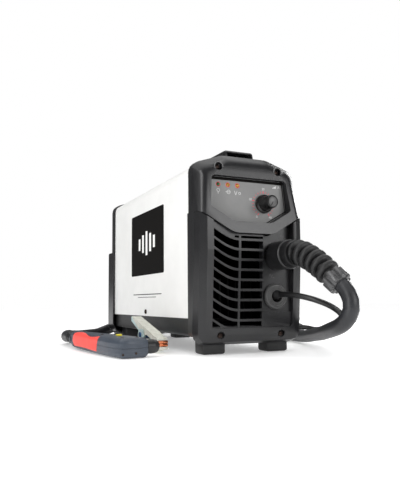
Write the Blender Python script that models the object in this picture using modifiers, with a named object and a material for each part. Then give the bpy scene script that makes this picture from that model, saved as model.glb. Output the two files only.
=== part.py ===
"""Plasma cutter unit: an inverter power source with its hand torch and work clamp.

Metres, +Z up. The front faces -Y, and the unit's width runs along X. Sizes below are named once and
everything that fits or lines up is worked out from them. In the unit's own frame x = 0 is the middle of
the casing, y = 0 is the front face of the grille moulding and z = 0 is the surface it all stands on.
The last step moves the whole model so that the origin is under the middle of the unit, torch and clamp.
"""

import math

import bmesh
import bpy
import numpy as np
from mathutils import Matrix, Vector

for old in list(bpy.data.objects):
    bpy.data.objects.remove(old, do_unlink=True)

MM = 0.001
GAP = 0.3 * MM  # between pieces that touch
SCREW_PLAY = 0.3 * MM  # around a screw in its hole

# Casing
CASE_WIDTH = 150 * MM  # lower front moulding and lower rear moulding
CASE_TOP = 246.5 * MM
CASE_HALF = CASE_WIDTH / 2
BEZEL_WIDTH = CASE_WIDTH - 3 * MM  # upper mouldings
MOULD_WALL = 2.2 * MM
FRONT_DEPTH = 29 * MM  # from the grille's face to the cover
FRONT_BOTTOM_DEPTH = 18 * MM
FRONT_BOTTOM = 11.5 * MM
FRONT_CORNER = 15 * MM
FRONT_EDGE = 12 * MM  # rounding of the moulding's front edges
FACE_PROUD = 3 * MM  # and stands this far forward
FACE_SLOPE = 0.08  # below it the face falls back by this much for each unit of height
CROWN_HALF = CASE_HALF - 43 * MM  # half of the flat part of the roof
SHOULDER_Z = CASE_TOP - 13.5 * MM  # where the sloping roof meets the side
SHOULDER_RADIUS = 14 * MM
CROWN_RADIUS = 30 * MM
PLATE_BOTTOM = 50 * MM
GROMMET_Z = PLATE_BOTTOM + 19.5 * MM
GLAND_Z = GROMMET_Z + 51 * MM
LIP_Z = GLAND_Z + 26 * MM  # the two front mouldings meet here at the middle
SPLIT_Z = LIP_Z + 24.5 * MM  # and here at the side
LIP_HALF = CASE_HALF - 48 * MM
FACE_UPRIGHT_Z = LIP_Z - 21.5 * MM  # above this the moulding's face is upright
LIP_RADIUS = 25 * MM
BEZEL_REACH = 5.5 * MM  # the upper moulding's lip stands this far in front of the grille
BEZEL_LEAN = 0.14  # its face leans back by this much for each unit of height
BEZEL_STRAIGHT = 10 * MM  # the roof slopes down only in front of this much straight wall
BEZEL_DROP = 9 * MM  # how far the roof slopes down to the front
BEZEL_DRAW = 3 * MM  # drawn in at the bottom of its face
BEZEL_NARROW = 8.5 * MM  # how far each side draws in at the top front
BEZEL_EDGE = 7 * MM

# Grille and connection plate in the front moulding
GLAND_X = CASE_HALF - 35.5 * MM
GRILLE_LEFT = 20.5 * MM - CASE_HALF
GRILLE_RIGHT = GLAND_X - 24.5 * MM
GRILLE_BOTTOM = 31.5 * MM
GRILLE_RECESS = 3 * MM
GRILLE_BAR_X = GRILLE_LEFT + 37 * MM
GRILLE_BAR = 3 * MM
RIB_PITCH = 12.3 * MM
RIB_THICK = 3 * MM
RIB_RISE = 15 * MM  # how much higher a rib starts at the left than at the bar
FIRST_RIB_Z = LIP_Z - 7.5 * MM
PLATE_RECESS = 8 * MM
GLAND_RADIUS = 18.5 * MM
PLATE_RIGHT = GLAND_X + GLAND_RADIUS + 0.7 * MM
GROMMET_X = GLAND_X - 4 * MM
PORT_HOLE = 12 * MM  # radius of both holes in the plate

# Control panel
WINDOW_TOP = CASE_TOP - 29 * MM
WINDOW_TOP_HALF = CASE_HALF - 22 * MM
WINDOW_BOTTOM = LIP_Z + 14 * MM
WINDOW_MIDDLE_Z = WINDOW_BOTTOM + 17.5 * MM
WINDOW_HALF = CASE_HALF - 18 * MM
WINDOW_BOTTOM_HALF = LIP_HALF
PANEL_Y = 12.3 * MM
PANEL_THICK = 2 * MM
PANEL_MARGIN = 4 * MM
KNOB_X = WINDOW_HALF - 33 * MM
KNOB_Z = (WINDOW_TOP + WINDOW_BOTTOM) / 2 - 2 * MM
KNOB_RADIUS = 12 * MM
KNOB_HEIGHT = 23 * MM
KNOB_STEM = 3 * MM
LED_RADIUS = 2.5 * MM
LED_Z = WINDOW_TOP - 9.5 * MM
LED_PITCH = 13.5 * MM
LED_X = 12.5 * MM - WINDOW_TOP_HALF
LED_XS = {"led_power": LED_X, "led_alarm": LED_X + LED_PITCH, "led_pilot": LED_X + 2 * LED_PITCH}
BOARD_Y = 25 * MM
BOARD_THICK = 1.6 * MM

# Screws of the front mouldings
SCREW_X = CASE_HALF - 32.5 * MM
SCREW_RADIUS = 2 * MM
SCREW_HEAD = 3.5 * MM
SCREW_CUP = 5 * MM
LOWER_SCREW_Z = GRILLE_BOTTOM - 8.3 * MM
UPPER_SCREW_Z = CASE_TOP - 17.5 * MM

# Cover, tray and feet
COVER_SHEET = 1.2 * MM
COVER_BOTTOM = 43.4 * MM
COVER_TUCK = 6 * MM  # how far the cover reaches into the mouldings
COVER_SCREW_Y = 193 * MM
COVER_SCREW_Z = 49.7 * MM
TRAY_HALF = CASE_HALF - 7 * MM
TRAY_BOTTOM = 21.5 * MM
TRAY_SHEET = 1.5 * MM
TRAY_TOP = 75 * MM
TRAY_FRONT = 16 * MM
FOOT_OUTER = TRAY_HALF - 7.5 * MM
FOOT_WIDTH = 31 * MM
FOOT_LENGTH = 25 * MM
FOOT_EDGE = 3 * MM

# Rear moulding
REAR_END = 392 * MM
REAR_START = REAR_END - 36 * MM
REAR_UPPER_END = REAR_END - 17 * MM
REAR_SPLIT = 152 * MM
REAR_BOTTOM = 12 * MM
REAR_CORNER = 15 * MM
REAR_EDGE = 7 * MM
REAR_WALL = 2.5 * MM

# Carrying handle
HANDLE_HALF = 21 * MM
HANDLE_GRIP_HALF = 13 * MM
HANDLE_END_HEIGHT = 11.5 * MM  # above the casing's top
HANDLE_TOP = CASE_TOP + 19 * MM
HANDLE_THICK = 12 * MM
HANDLE_FOOT = 26 * MM
HANDLE_RISE = 60 * MM  # length over which it rises
HANDLE_WALL = 3 * MM
TROUGH_HALF = 20 * MM  # hollow in the roof for the fingers
TROUGH_DEPTH = 13 * MM

# Fan
FAN_SIDE = 80 * MM
FAN_DEPTH = 25 * MM
FAN_Z = 95 * MM
FAN_BORE = 37 * MM
FAN_HUB = 16 * MM
FAN_BLADES = 7

# Rear fittings
SWITCH_Z = CASE_TOP - 46.5 * MM
SWITCH_WIDE = 26 * MM
SWITCH_HIGH = 20 * MM
SWITCH_TILT = math.radians(11)
INLET_X = CASE_HALF - 18 * MM
GLAND_REAR_X = -INLET_X
REAR_PORT_Z = 52 * MM

# Inside
POWER_BOARD_Z = 33 * MM
POST_RADIUS = 4 * MM
POST_X = TRAY_HALF - 12 * MM
POST_YS = (80 * MM, 320 * MM)

# Torch, lying on its side
TORCH_THICK = 23 * MM
TORCH_EDGE = 6 * MM
TORCH_WALL = 3 * MM
TORCH_TAIL = (-170.5 * MM, 196 * MM)
TORCH_NECK = (TORCH_TAIL[0] + 42.5 * MM, TORCH_TAIL[1] - 159.5 * MM)
TORCH_HEAD_AIM = Vector((0.985, 0.17, 0)).normalized()
TAIL_LENGTH = 44 * MM
TORCH_HEAD_RADIUS = 7 * MM
TORCH_CAP_RADIUS = 8.4 * MM
TORCH_REST = (TORCH_TAIL[0] + 10.5 * MM, TORCH_TAIL[1] - 168 * MM)  # it rests here and rises towards its tail
TORCH_RISE = math.radians(0.75)
GRIP_FRONT = TORCH_TAIL[1] - 123 * MM
GRIP_BACK = TORCH_TAIL[1] - 12 * MM
GRIP_Z = 2.6 * MM
TRIGGER_PIVOT = (TORCH_TAIL[0] + 17 * MM, TORCH_TAIL[1] - 112 * MM)
TRIGGER_LENGTH = 40 * MM
TRIGGER_HIGH = 13 * MM
CATCH_PIVOT = (TORCH_TAIL[0] + 21 * MM, TORCH_TAIL[1] - 130 * MM)

# Work clamp, lying on its lower arm
CLAMP_X = -94.5 * MM
CLAMP_HALF = 8.5 * MM
CLAMP_SHEET = 1.2 * MM
CLAMP_PIVOT = (124 * MM, 20 * MM)  # y, z
CLAMP_JAW = 59 * MM  # from the pivot to the tip
CLAMP_GRIP = 45 * MM  # from the pivot to the handles' ends
CLAMP_PIN = 2.2 * MM
CONTACT_THICK = 3.5 * MM
JAW_Z = 12 * MM

# Leads
HOSE = 18 * MM  # diameter of the torch lead
CABLE = 7 * MM  # diameter of the work cable
GLAND_LENGTH = 44.5 * MM
NUT_RADIUS = 14.3 * MM
NUT_LENGTH = 15.5 * MM
NUT_CENTRE = Vector((47.6, -98.5, 85.8)) * MM
NUT_AIM = Vector((0.2, -0.75, -0.63)).normalized()
PROTECTOR_RIBS = 7
HOSE_COIL = {"centre": (212, 410), "outer": 118, "start": -45, "turns": 4.5, "pitch": 18.7}
CABLE_COIL = {"centre": (22, 492), "outer": 54, "start": 0, "turns": 7.5, "pitch": 7.5}


parts = bpy.data.collections.new("plasma_cutter_unit")
cutters = bpy.data.collections.new("cutters")
for collection in (parts, cutters):
    bpy.context.scene.collection.children.link(collection)


# Materials


def material(name, colour, roughness, metallic=0.0):
    made = bpy.data.materials.new(name)
    made.use_nodes = True
    shader = made.node_tree.nodes["Principled BSDF"]
    shader.inputs["Base Color"].default_value = (*colour, 1)
    shader.inputs["Roughness"].default_value = roughness
    shader.inputs["Metallic"].default_value = metallic
    made.diffuse_color = (*colour, 1)
    return made


BLACK_PLASTIC = material("black_moulded_plastic", (0.03, 0.03, 0.032), 0.45)
GREY_PANEL = material("grey_panel_film", (0.2, 0.2, 0.2), 0.5)
WHITE_PAINT = material("white_powder_coat", (0.85, 0.85, 0.84), 0.4)
BLACK_PAINT = material("black_powder_coat", (0.02, 0.02, 0.02), 0.5)
RUBBER = material("black_rubber", (0.02, 0.02, 0.02), 0.7)
HOSE_RUBBER = material("lead_rubber", (0.03, 0.03, 0.03), 0.55)
STEEL = material("zinc_plated_steel", (0.62, 0.6, 0.52), 0.35, 1.0)
SPRING_STEEL = material("spring_steel", (0.25, 0.3, 0.4), 0.35, 1.0)
SCREW_STEEL = material("screw_steel", (0.3, 0.24, 0.2), 0.4, 1.0)
ALUMINIUM = material("extruded_aluminium", (0.7, 0.7, 0.72), 0.4, 1.0)
COPPER = material("copper", (0.75, 0.35, 0.2), 0.35, 1.0)
BRASS = material("brass", (0.7, 0.5, 0.2), 0.35, 1.0)
BOARD_GREEN = material("circuit_board", (0.02, 0.16, 0.06), 0.5)
FERRITE = material("ferrite", (0.06, 0.06, 0.065), 0.6)
GREEN_LENS = material("green_lens", (0.02, 0.4, 0.08), 0.2)
AMBER_LENS = material("amber_lens", (0.9, 0.45, 0.05), 0.2)
TORCH_GREY = material("blue_grey_plastic", (0.13, 0.15, 0.17), 0.4)
SOFT_RED = material("soft_red_rubber", (0.9, 0.1, 0.08), 0.6)
TRIGGER_RED = material("trigger_plastic", (0.75, 0.2, 0.15), 0.4)
YELLOW = material("yellow_plastic", (0.85, 0.7, 0.03), 0.4)
KNOB_BLACK = material("knob_plastic", (0.015, 0.015, 0.015), 0.35)


# Outlines


def rounded(corners, steps=4):
    """An outline of arcs and straight sides from corners given as (u, v, radius)."""
    outline = []
    for k, (u, v, radius) in enumerate(corners):
        corner = Vector((u, v))
        if radius <= 0:
            outline.append(corner)
            continue
        back = (Vector(corners[k - 1][:2]) - corner).normalized()
        ahead = (Vector(corners[(k + 1) % len(corners)][:2]) - corner).normalized()
        half = back.angle(ahead) / 2
        centre = corner + (back + ahead).normalized() * radius / math.sin(half)
        first = corner + back * radius / math.tan(half) - centre
        sweep = math.pi - 2 * half
        side = 1 if back.x * ahead.y - back.y * ahead.x < 0 else -1
        for step in range(steps + 1):
            turn = side * sweep * step / steps
            outline.append(centre + Matrix.Rotation(turn, 2) @ first)
    return [tuple(point) for point in outline]


def inset(corners, distance):
    """The same corners with every side moved inwards, for an outline that runs anticlockwise."""
    moved = []
    for k, (u, v, radius) in enumerate(corners):
        before = (Vector((u, v)) - Vector(corners[k - 1][:2])).normalized()
        after = (Vector(corners[(k + 1) % len(corners)][:2]) - Vector((u, v))).normalized()
        inwards = Vector((-before.y - after.y, before.x + after.x))
        place = Vector((u, v)) + inwards * distance / (1 + before.dot(after))
        left = before.x * after.y - before.y * after.x > 0
        moved.append((place.x, place.y, max(radius + (-distance if left else distance), 0) if radius else 0))
    return moved


def rectangle(left, bottom, right, top, radius=0.0):
    return [(left, bottom, radius), (right, bottom, radius), (right, top, radius), (left, top, radius)]


def roof(half_width, base):
    """Corners of the casing's outline above a base height, seen from the front."""
    return [
        (-half_width, base, 0),
        (half_width, base, 0),
        (half_width, SHOULDER_Z, SHOULDER_RADIUS),
        (CROWN_HALF, CASE_TOP, CROWN_RADIUS),
        (-CROWN_HALF, CASE_TOP, CROWN_RADIUS),
        (-half_width, SHOULDER_Z, SHOULDER_RADIUS),
    ]


# Objects

LYING = {
    "X": Matrix(((0, 0, 1, 0), (1, 0, 0, 0), (0, 1, 0, 0), (0, 0, 0, 1))),
    "Y": Matrix.Rotation(math.radians(90), 4, "X"),
    "Z": Matrix.Identity(4),
}
AXIS = {"X": Vector((1, 0, 0)), "Y": Vector((0, 1, 0)), "Z": Vector((0, 0, 1))}
unit_origin = bpy.data.objects.new("unit_origin", None)
parts.objects.link(unit_origin)


def add(name, mesh, finish=None):
    """A mesh or curve as an object: a named part with a finish, or a cutter without one."""
    made = bpy.data.objects.new(name, mesh)
    (parts if finish else cutters).objects.link(made)
    made.parent = unit_origin
    if finish:
        mesh.materials.append(finish)
    else:
        made.hide_render = True
        made.display_type = "WIRE"
    return made


def shaded(mesh):
    mesh.shade_smooth()
    mesh.set_sharp_from_angle(angle=math.radians(35))
    return mesh


def curve_mesh(curve, place, dissolve=True):
    """The closed mesh of a filled curve, with its caps welded."""
    guide = bpy.data.objects.new("guide", curve)
    bpy.context.scene.collection.objects.link(guide)
    evaluated = guide.evaluated_get(bpy.context.evaluated_depsgraph_get())
    mesh = bpy.data.meshes.new_from_object(evaluated)
    bpy.data.objects.remove(guide)
    form = bmesh.new()
    form.from_mesh(mesh)
    bmesh.ops.remove_doubles(form, verts=form.verts, dist=0.0001)
    if dissolve:
        bmesh.ops.dissolve_limit(form, angle_limit=0.002, verts=form.verts, edges=form.edges)
    bmesh.ops.recalc_face_normals(form, faces=form.faces)
    form.transform(place)
    form.to_mesh(mesh)
    form.free()
    mesh.materials.clear()
    return mesh


def slab(name, outline, low, high, axis, finish=None):
    """A flat outline given its thickness from low to high along an axis."""
    curve = bpy.data.curves.new(name, "CURVE")
    curve.dimensions = "2D"
    curve.fill_mode = "BOTH"
    curve.extrude = (high - low) / 2
    spline = curve.splines.new("POLY")
    spline.points.add(len(outline) - 1)
    for point, (u, v) in zip(spline.points, outline):
        point.co = (u, v, 0, 1)
    spline.use_cyclic_u = True
    place = Matrix.Translation(AXIS[axis] * (low + high) / 2) @ LYING[axis]
    return add(name, curve_mesh(curve, place), finish)


def block(name, low, high, finish=None, edge=0.0):
    """A box between two corners, with its edges rounded if asked."""
    low, high = Vector(low), Vector(high)
    form = bmesh.new()
    bmesh.ops.create_cube(form, size=1)
    size, middle = high - low, (low + high) / 2
    place = Matrix.Translation(middle) @ Matrix.Diagonal((*size, 1))
    bmesh.ops.transform(form, matrix=place, verts=form.verts)
    if edge:
        bmesh.ops.bevel(form, geom=form.edges, offset=edge, segments=2, profile=0.5, affect="EDGES")
    mesh = bpy.data.meshes.new(name)
    form.to_mesh(mesh)
    form.free()
    return add(name, mesh, finish)


def rod(name, start, aim, length, radius, finish=None, sides=20, tip=None):
    """A cylinder, or a cone with a tip radius, from a point along a direction."""
    form = bmesh.new()
    bmesh.ops.create_cone(
        form,
        cap_ends=True,
        segments=sides,
        radius1=radius,
        radius2=radius if tip is None else tip,
        depth=length,
    )
    turn = Vector(aim).to_track_quat("Z", "Y").to_matrix().to_4x4()
    middle = Vector(start) + Vector(aim).normalized() * length / 2
    bmesh.ops.transform(form, matrix=Matrix.Translation(middle) @ turn, verts=form.verts)
    mesh = bpy.data.meshes.new(name)
    form.to_mesh(mesh)
    form.free()
    return add(name, shaded(mesh), finish)


def turned(name, profile, place, aim, finish=None, sides=24):
    """A profile of (radius, height), listed from its top down its outside, turned about an axis."""
    mesh = bpy.data.meshes.new(name)
    points = [(radius, 0, height) for radius, height in profile]
    mesh.from_pydata(points, [(k, k + 1) for k in range(len(points) - 1)], [])
    made = add(name, mesh, finish)
    made.location = place
    made.rotation_euler = Vector(aim).to_track_quat("Z", "Y").to_euler()
    screw = made.modifiers.new("turn", "SCREW")
    screw.axis = "Z"
    screw.steps = screw.render_steps = sides
    screw.use_merge_vertices = True
    screw.merge_threshold = 0.00002
    screw.use_smooth_shade = False
    return made


def tube(name, points, radii, finish, resolution=2):
    """A round tube along points, as a POLY curve with filled caps."""
    curve = bpy.data.curves.new(name, "CURVE")
    curve.dimensions = "3D"
    curve.bevel_depth = 1.0
    curve.bevel_resolution = resolution
    curve.use_fill_caps = True
    spline = curve.splines.new("POLY")
    spline.points.add(len(points) - 1)
    radii = [radii] * len(points) if isinstance(radii, float) else radii
    for point, place, radius in zip(spline.points, points, radii):
        point.co = (*place, 1)
        point.radius = radius
    return add(name, curve, finish)


def change(made, how, other):
    boolean = made.modifiers.new(how.lower(), "BOOLEAN")
    boolean.operation = how
    boolean.object = other


def cut(made, *tools):
    for tool in tools:
        change(made, "DIFFERENCE", tool)


def join(made, *others):
    for other in others:
        change(made, "UNION", other)


def edit(made, work):
    """Runs a piece of work on an object's mesh."""
    form = bmesh.new()
    form.from_mesh(made.data)
    work(form)
    form.to_mesh(made.data)
    form.free()


def round_edges(made, chosen, radius, segments=3, sharp=lambda p: False):
    """Rounds the edges whose two ends both pass a test, but not those that also pass the test for sharp ones."""

    def work(form):
        edges = [e for e in form.edges if all(chosen(v.co) for v in e.verts) and len(e.link_faces) == 2]
        edges = [e for e in edges if not all(sharp(v.co) for v in e.verts)]
        edges = [e for e in edges if e.calc_face_angle(0) > math.radians(25)]
        bmesh.ops.bevel(form, geom=edges, offset=radius, segments=segments, profile=0.5, affect="EDGES")
        bmesh.ops.remove_doubles(form, verts=form.verts, dist=0.0001)
        bmesh.ops.dissolve_degenerate(form, edges=form.edges, dist=0.00002)

    edit(made, work)
    shaded(made.data)


def hang_on(made, axis_point):
    """Puts an object's origin on its joint's axis."""
    axis_point = Vector(axis_point)
    made.data.transform(Matrix.Translation(-axis_point))
    made.location = axis_point


def merged(name, tools):
    """Several cutters that don't touch, as one."""
    form = bmesh.new()
    for tool in tools:
        form.from_mesh(tool.data)
        bpy.data.objects.remove(tool)
    mesh = bpy.data.meshes.new(name)
    form.to_mesh(mesh)
    form.free()
    return add(name, mesh)


# Front mouldings

BEZEL_HALF = BEZEL_WIDTH / 2
LIP_SLOPE = (SPLIT_Z - LIP_Z) / (BEZEL_HALF - LIP_HALF)


def lip_height(x):
    return LIP_Z + LIP_SLOPE * (x - LIP_HALF)


def bezel_corners():
    upper = roof(BEZEL_HALF, SPLIT_Z)
    return [(-LIP_HALF, LIP_Z, LIP_RADIUS), (LIP_HALF, LIP_Z, LIP_RADIUS), *upper[1:], upper[0]]


def frame_corners():
    drop = GAP / math.cos(math.atan(LIP_SLOPE))
    side = lip_height(CASE_HALF) - drop
    return [
        (-CASE_HALF, FRONT_BOTTOM, FRONT_CORNER),
        (CASE_HALF, FRONT_BOTTOM, FRONT_CORNER),
        (CASE_HALF, side, 0),
        (LIP_HALF, LIP_Z - GAP, LIP_RADIUS),
        (-LIP_HALF, LIP_Z - GAP, LIP_RADIUS),
        (-CASE_HALF, side, 0),
    ]


def window_corners():
    return [
        (-WINDOW_BOTTOM_HALF, WINDOW_BOTTOM, 20 * MM),
        (WINDOW_BOTTOM_HALF, WINDOW_BOTTOM, 20 * MM),
        (WINDOW_HALF, WINDOW_MIDDLE_Z, 4 * MM),
        (WINDOW_TOP_HALF, WINDOW_TOP, 5 * MM),
        (-WINDOW_TOP_HALF, WINDOW_TOP, 5 * MM),
        (-WINDOW_HALF, WINDOW_MIDDLE_Z, 4 * MM),
    ]


def lean_back(made, front):
    """Tilts the front cap of a slab like the upper moulding's face."""

    def work(form):
        for vertex in form.verts:
            if vertex.co.y < front + 0.1 * MM:
                vertex.co.y += BEZEL_LEAN * (vertex.co.z - LIP_Z)

    edit(made, work)


def lean_frame(made):
    """Moves what is at the front of a slab by as much as the lower moulding's face leans there."""

    def work(form):
        everything = form.verts[:] + form.edges[:] + form.faces[:]
        bmesh.ops.bisect_plane(form, geom=everything, plane_co=(0, 0, FACE_UPRIGHT_Z), plane_no=(0, 0, 1))
        for vertex in form.verts:
            if vertex.co.y < FRONT_DEPTH / 2:
                vertex.co.y += face_offset(vertex.co.z)

    edit(made, work)


def face_offset(z):
    return FACE_SLOPE * max(FACE_UPRIGHT_Z - z, 0) - FACE_PROUD


def slope_roof(made, front):
    """Draws the roof and sides in towards the front of the upper moulding."""
    straight = FRONT_DEPTH - BEZEL_STRAIGHT

    def work(form):
        faces = form.verts[:] + form.edges[:] + form.faces[:]
        bmesh.ops.bisect_plane(form, geom=faces, plane_co=(0, straight, 0), plane_no=(0, 1, 0))
        for vertex in form.verts:
            if vertex.co.y > front + 0.1 * MM or vertex.co.z < SPLIT_Z:
                continue
            height = (vertex.co.z - SPLIT_Z) / (CASE_TOP - SPLIT_Z)
            vertex.co.x *= 1 - (BEZEL_DRAW + BEZEL_NARROW * height) / BEZEL_HALF
            vertex.co.z -= BEZEL_DROP * height

    edit(made, work)


def rib_height(x, middle_z):
    """The middle of a grille rib: level right of the bar, rising in a quarter wave to the left."""
    if x >= GRILLE_BAR_X:
        return middle_z
    share = (GRILLE_BAR_X - x) / (GRILLE_BAR_X - GRILLE_LEFT)
    return middle_z + RIB_RISE * (1 - math.cos(share * math.pi / 2))


def slot_cutters():
    """The gaps between the ribs, left and right of the bar."""
    tools = []
    rows = int((FIRST_RIB_Z - GRILLE_BOTTOM) / RIB_PITCH) + 3
    bottom = GRILLE_BOTTOM + RIB_THICK / 2
    deep = PLATE_RECESS + MOULD_WALL + 1 * MM
    for row in range(rows):
        top_z = FIRST_RIB_Z + RIB_PITCH * (1 - row)
        half_bar = GRILLE_BAR / 2
        spans = ((GRILLE_LEFT, GRILLE_BAR_X - half_bar, 6), (GRILLE_BAR_X + half_bar, GRILLE_RIGHT, 1))
        for left, right, steps in spans:
            xs = [left + (right - left) * k / steps for k in range(steps + 1)]
            roof_z = [rib_height(x, top_z) - RIB_THICK / 2 for x in xs]
            floor_z = [rib_height(x, top_z - RIB_PITCH) + RIB_THICK / 2 for x in xs]
            limit = [LIP_Z - 3 * MM + max(0, -x - LIP_HALF - 6 * MM) * LIP_SLOPE for x in xs]
            roof_z = [min(z, top) for z, top in zip(roof_z, limit)]
            floor_z = [max(z, bottom) for z in floor_z]
            kept = [k for k in range(len(xs)) if roof_z[k] - floor_z[k] > 1 * MM]
            if len(kept) < 2 or kept[-1] - kept[0] != len(kept) - 1:
                continue
            outline = [(xs[k], floor_z[k]) for k in kept] + [(xs[k], roof_z[k]) for k in reversed(kept)]
            tools.append(slab("slot", outline, -5 * MM, deep, "Y"))
    return merged("grille_slots", tools)


def screw_seat(boss, body, x, z, cup_end, boss_start, boss_end):
    """Gives a moulding a screw boss with a cup in front and a clear hole through it."""
    wide = SCREW_CUP + 1.5 * MM
    join(body, rod(f"{boss}_boss", (x, boss_start, z), (0, 1, 0), boss_end - boss_start, wide, sides=16))
    cut(
        body,
        rod(f"{boss}_cup", (x, -20 * MM, z), (0, 1, 0), cup_end + 20 * MM, SCREW_CUP, sides=16),
        rod(f"{boss}_hole", (x, 0, z), (0, 1, 0), boss_end + 5 * MM, SCREW_RADIUS + SCREW_PLAY, sides=12),
    )


def front_screw(name, x, z, head_end, length):
    """A pan head screw whose head ends at head_end and whose shank runs on backwards."""
    head = 2.8 * MM
    turned(
        name,
        [
            (0, head),
            (SCREW_HEAD * 0.7, head),
            (SCREW_HEAD, head * 0.4),
            (SCREW_HEAD, 0),
            (SCREW_RADIUS, 0),
            (SCREW_RADIUS, -length),
            (0, -length),
        ],
        (x, head_end, z),
        (0, -1, 0),
        SCREW_STEEL,
        16,
    )


LOWER_CUP_END = 9 * MM
LOWER_BOSS_END = 14 * MM
UPPER_CUP_END = 12 * MM
UPPER_BOSS_END = FRONT_DEPTH - COVER_TUCK - 2 * MM


def round_front(made, front, half, radius):
    """Rounds a slab's front edges at its sides and below the upright part of its face."""

    def at_edge(p):
        return p.y < front + 0.1 * MM and (abs(p.x) > half - 0.1 * MM or p.z < FACE_UPRIGHT_Z)

    round_edges(made, at_edge, radius, 2)


def front_frame():
    body = slab("front_frame", rounded(frame_corners(), 3), 0, FRONT_DEPTH, "Y", BLACK_PLASTIC)
    round_front(body, 0, CASE_HALF, FRONT_EDGE)
    lean_frame(body)
    wall_back = GRILLE_RECESS + MOULD_WALL
    hollow_corners = rectangle(-CASE_HALF, FRONT_BOTTOM, CASE_HALF, SPLIT_Z + 20 * MM, FRONT_CORNER)
    hollow_outline = rounded(inset(hollow_corners, MOULD_WALL), 3)
    hollow = slab("frame_hollow", hollow_outline, wall_back, FRONT_DEPTH + 1 * MM, "Y")
    round_front(hollow, wall_back, CASE_HALF - MOULD_WALL, FRONT_EDGE - MOULD_WALL)
    lean_frame(hollow)
    cut(body, hollow)
    pan_back = PLATE_RECESS + MOULD_WALL
    pan_right = PLATE_RIGHT + MOULD_WALL
    pan_left, pan_bottom = GRILLE_RIGHT - MOULD_WALL, PLATE_BOTTOM - 8 * MM
    pan_outline = [
        (pan_left, pan_bottom),
        (pan_right, pan_bottom),
        (pan_right, lip_height(pan_right) - 1 * MM),
        (LIP_HALF, LIP_Z - 1 * MM),
        (pan_left, LIP_Z - 1 * MM),
    ]
    pan = slab("plate_pan", pan_outline, wall_back - 0.5 * MM, pan_back, "Y")
    shift_front(pan, wall_back - 0.5 * MM)
    join(body, pan)
    recess_corners = [
        (GRILLE_LEFT, GRILLE_BOTTOM, 6 * MM),
        (PLATE_RIGHT, GRILLE_BOTTOM, 6 * MM),
        (PLATE_RIGHT, SPLIT_Z, 0),
        (GRILLE_LEFT, SPLIT_Z, 0),
    ]
    recess = slab("frame_recess", rounded(recess_corners, 3), -12 * MM, GRILLE_RECESS, "Y")
    lean_frame(recess)
    cut(body, recess)
    deep = rectangle(GRILLE_RIGHT + 0.5 * MM, PLATE_BOTTOM, PLATE_RIGHT - GAP, SPLIT_Z)
    cut(body, slab("plate_recess", rounded(deep), -12 * MM, PLATE_RECESS, "Y"))
    cut(body, slot_cutters())
    notch_low = (-CASE_WIDTH, FRONT_BOTTOM_DEPTH, 0)
    cut(body, block("foot_notch", notch_low, (CASE_WIDTH, FRONT_DEPTH + 2 * MM, TRAY_BOTTOM + GAP)))
    cut(body, rod("gland_hole", (GLAND_X, 0, GLAND_Z), (0, 1, 0), 20 * MM, PORT_HOLE, sides=24))
    cut(body, rod("grommet_hole", (GROMMET_X, 0, GROMMET_Z), (0, 1, 0), 20 * MM, PORT_HOLE, sides=24))
    for side, x in (("left", -SCREW_X), ("right", SCREW_X)):
        screw_seat(f"lower_{side}", body, x, LOWER_SCREW_Z, LOWER_CUP_END, wall_back + 3 * MM, LOWER_BOSS_END)
        front_screw(f"front_screw_lower_{side}", x, LOWER_SCREW_Z, LOWER_CUP_END - GAP, TRAY_FRONT - 4 * MM)


def shift_front(made, front):
    """Leans only the front face of a slab with the lower moulding."""

    def work(form):
        everything = form.verts[:] + form.edges[:] + form.faces[:]
        bmesh.ops.bisect_plane(form, geom=everything, plane_co=(0, 0, FACE_UPRIGHT_Z), plane_no=(0, 0, 1))
        for vertex in form.verts:
            if vertex.co.y < front + 0.1 * MM:
                vertex.co.y += face_offset(vertex.co.z)

    edit(made, work)


def control_bezel():
    front = -BEZEL_REACH
    body = slab("control_bezel", rounded(bezel_corners(), 4), front, FRONT_DEPTH, "Y", BLACK_PLASTIC)
    slope_roof(body, front)
    lean_back(body, front)
    face = front + BEZEL_LEAN * (CASE_TOP - LIP_Z) + 1 * MM
    at_face, at_seam = (lambda p: p.y < face and on_bezel_face(p, front)), (lambda p: p.z < SPLIT_Z + 1 * MM)
    round_edges(body, at_face, BEZEL_EDGE, sharp=at_seam)
    hollow_front = front + MOULD_WALL + 0.8 * MM
    hollow_outline = rounded(inset(bezel_corners(), MOULD_WALL), 4)
    hollow = slab("bezel_hollow", hollow_outline, hollow_front, FRONT_DEPTH + 1 * MM, "Y")
    slope_roof(hollow, hollow_front)
    lean_back(hollow, hollow_front)
    cut(body, hollow)
    room_half = BEZEL_HALF - MOULD_WALL + 0.2 * MM
    room_low = (-room_half, FRONT_DEPTH - COVER_TUCK - 1 * MM, LIP_Z - 5 * MM)
    cut(body, block("cover_room", room_low, (room_half, FRONT_DEPTH + 2 * MM, SPLIT_Z + 12 * MM)))
    collar_front = front + 1.5 * MM
    collar_outline = rounded(inset(window_corners(), -MOULD_WALL))
    collar = slab("window_collar", collar_outline, collar_front, PANEL_Y - GAP, "Y")
    lean_back(collar, collar_front)
    join(body, collar)
    cut(body, slab("window", rounded(window_corners()), -30 * MM, FRONT_DEPTH, "Y"))
    for side, x in (("left", -SCREW_X), ("right", SCREW_X)):
        screw_seat(f"upper_{side}", body, x, UPPER_SCREW_Z, UPPER_CUP_END, 6 * MM, UPPER_BOSS_END)
        front_screw(f"front_screw_upper_{side}", x, UPPER_SCREW_Z, UPPER_CUP_END - GAP, 20 * MM)


def on_bezel_face(point, front):
    """True for points on the leaning front face."""
    return abs(point.y - front - BEZEL_LEAN * (point.z - LIP_Z)) < 2.5 * MM


# Control panel


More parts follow.
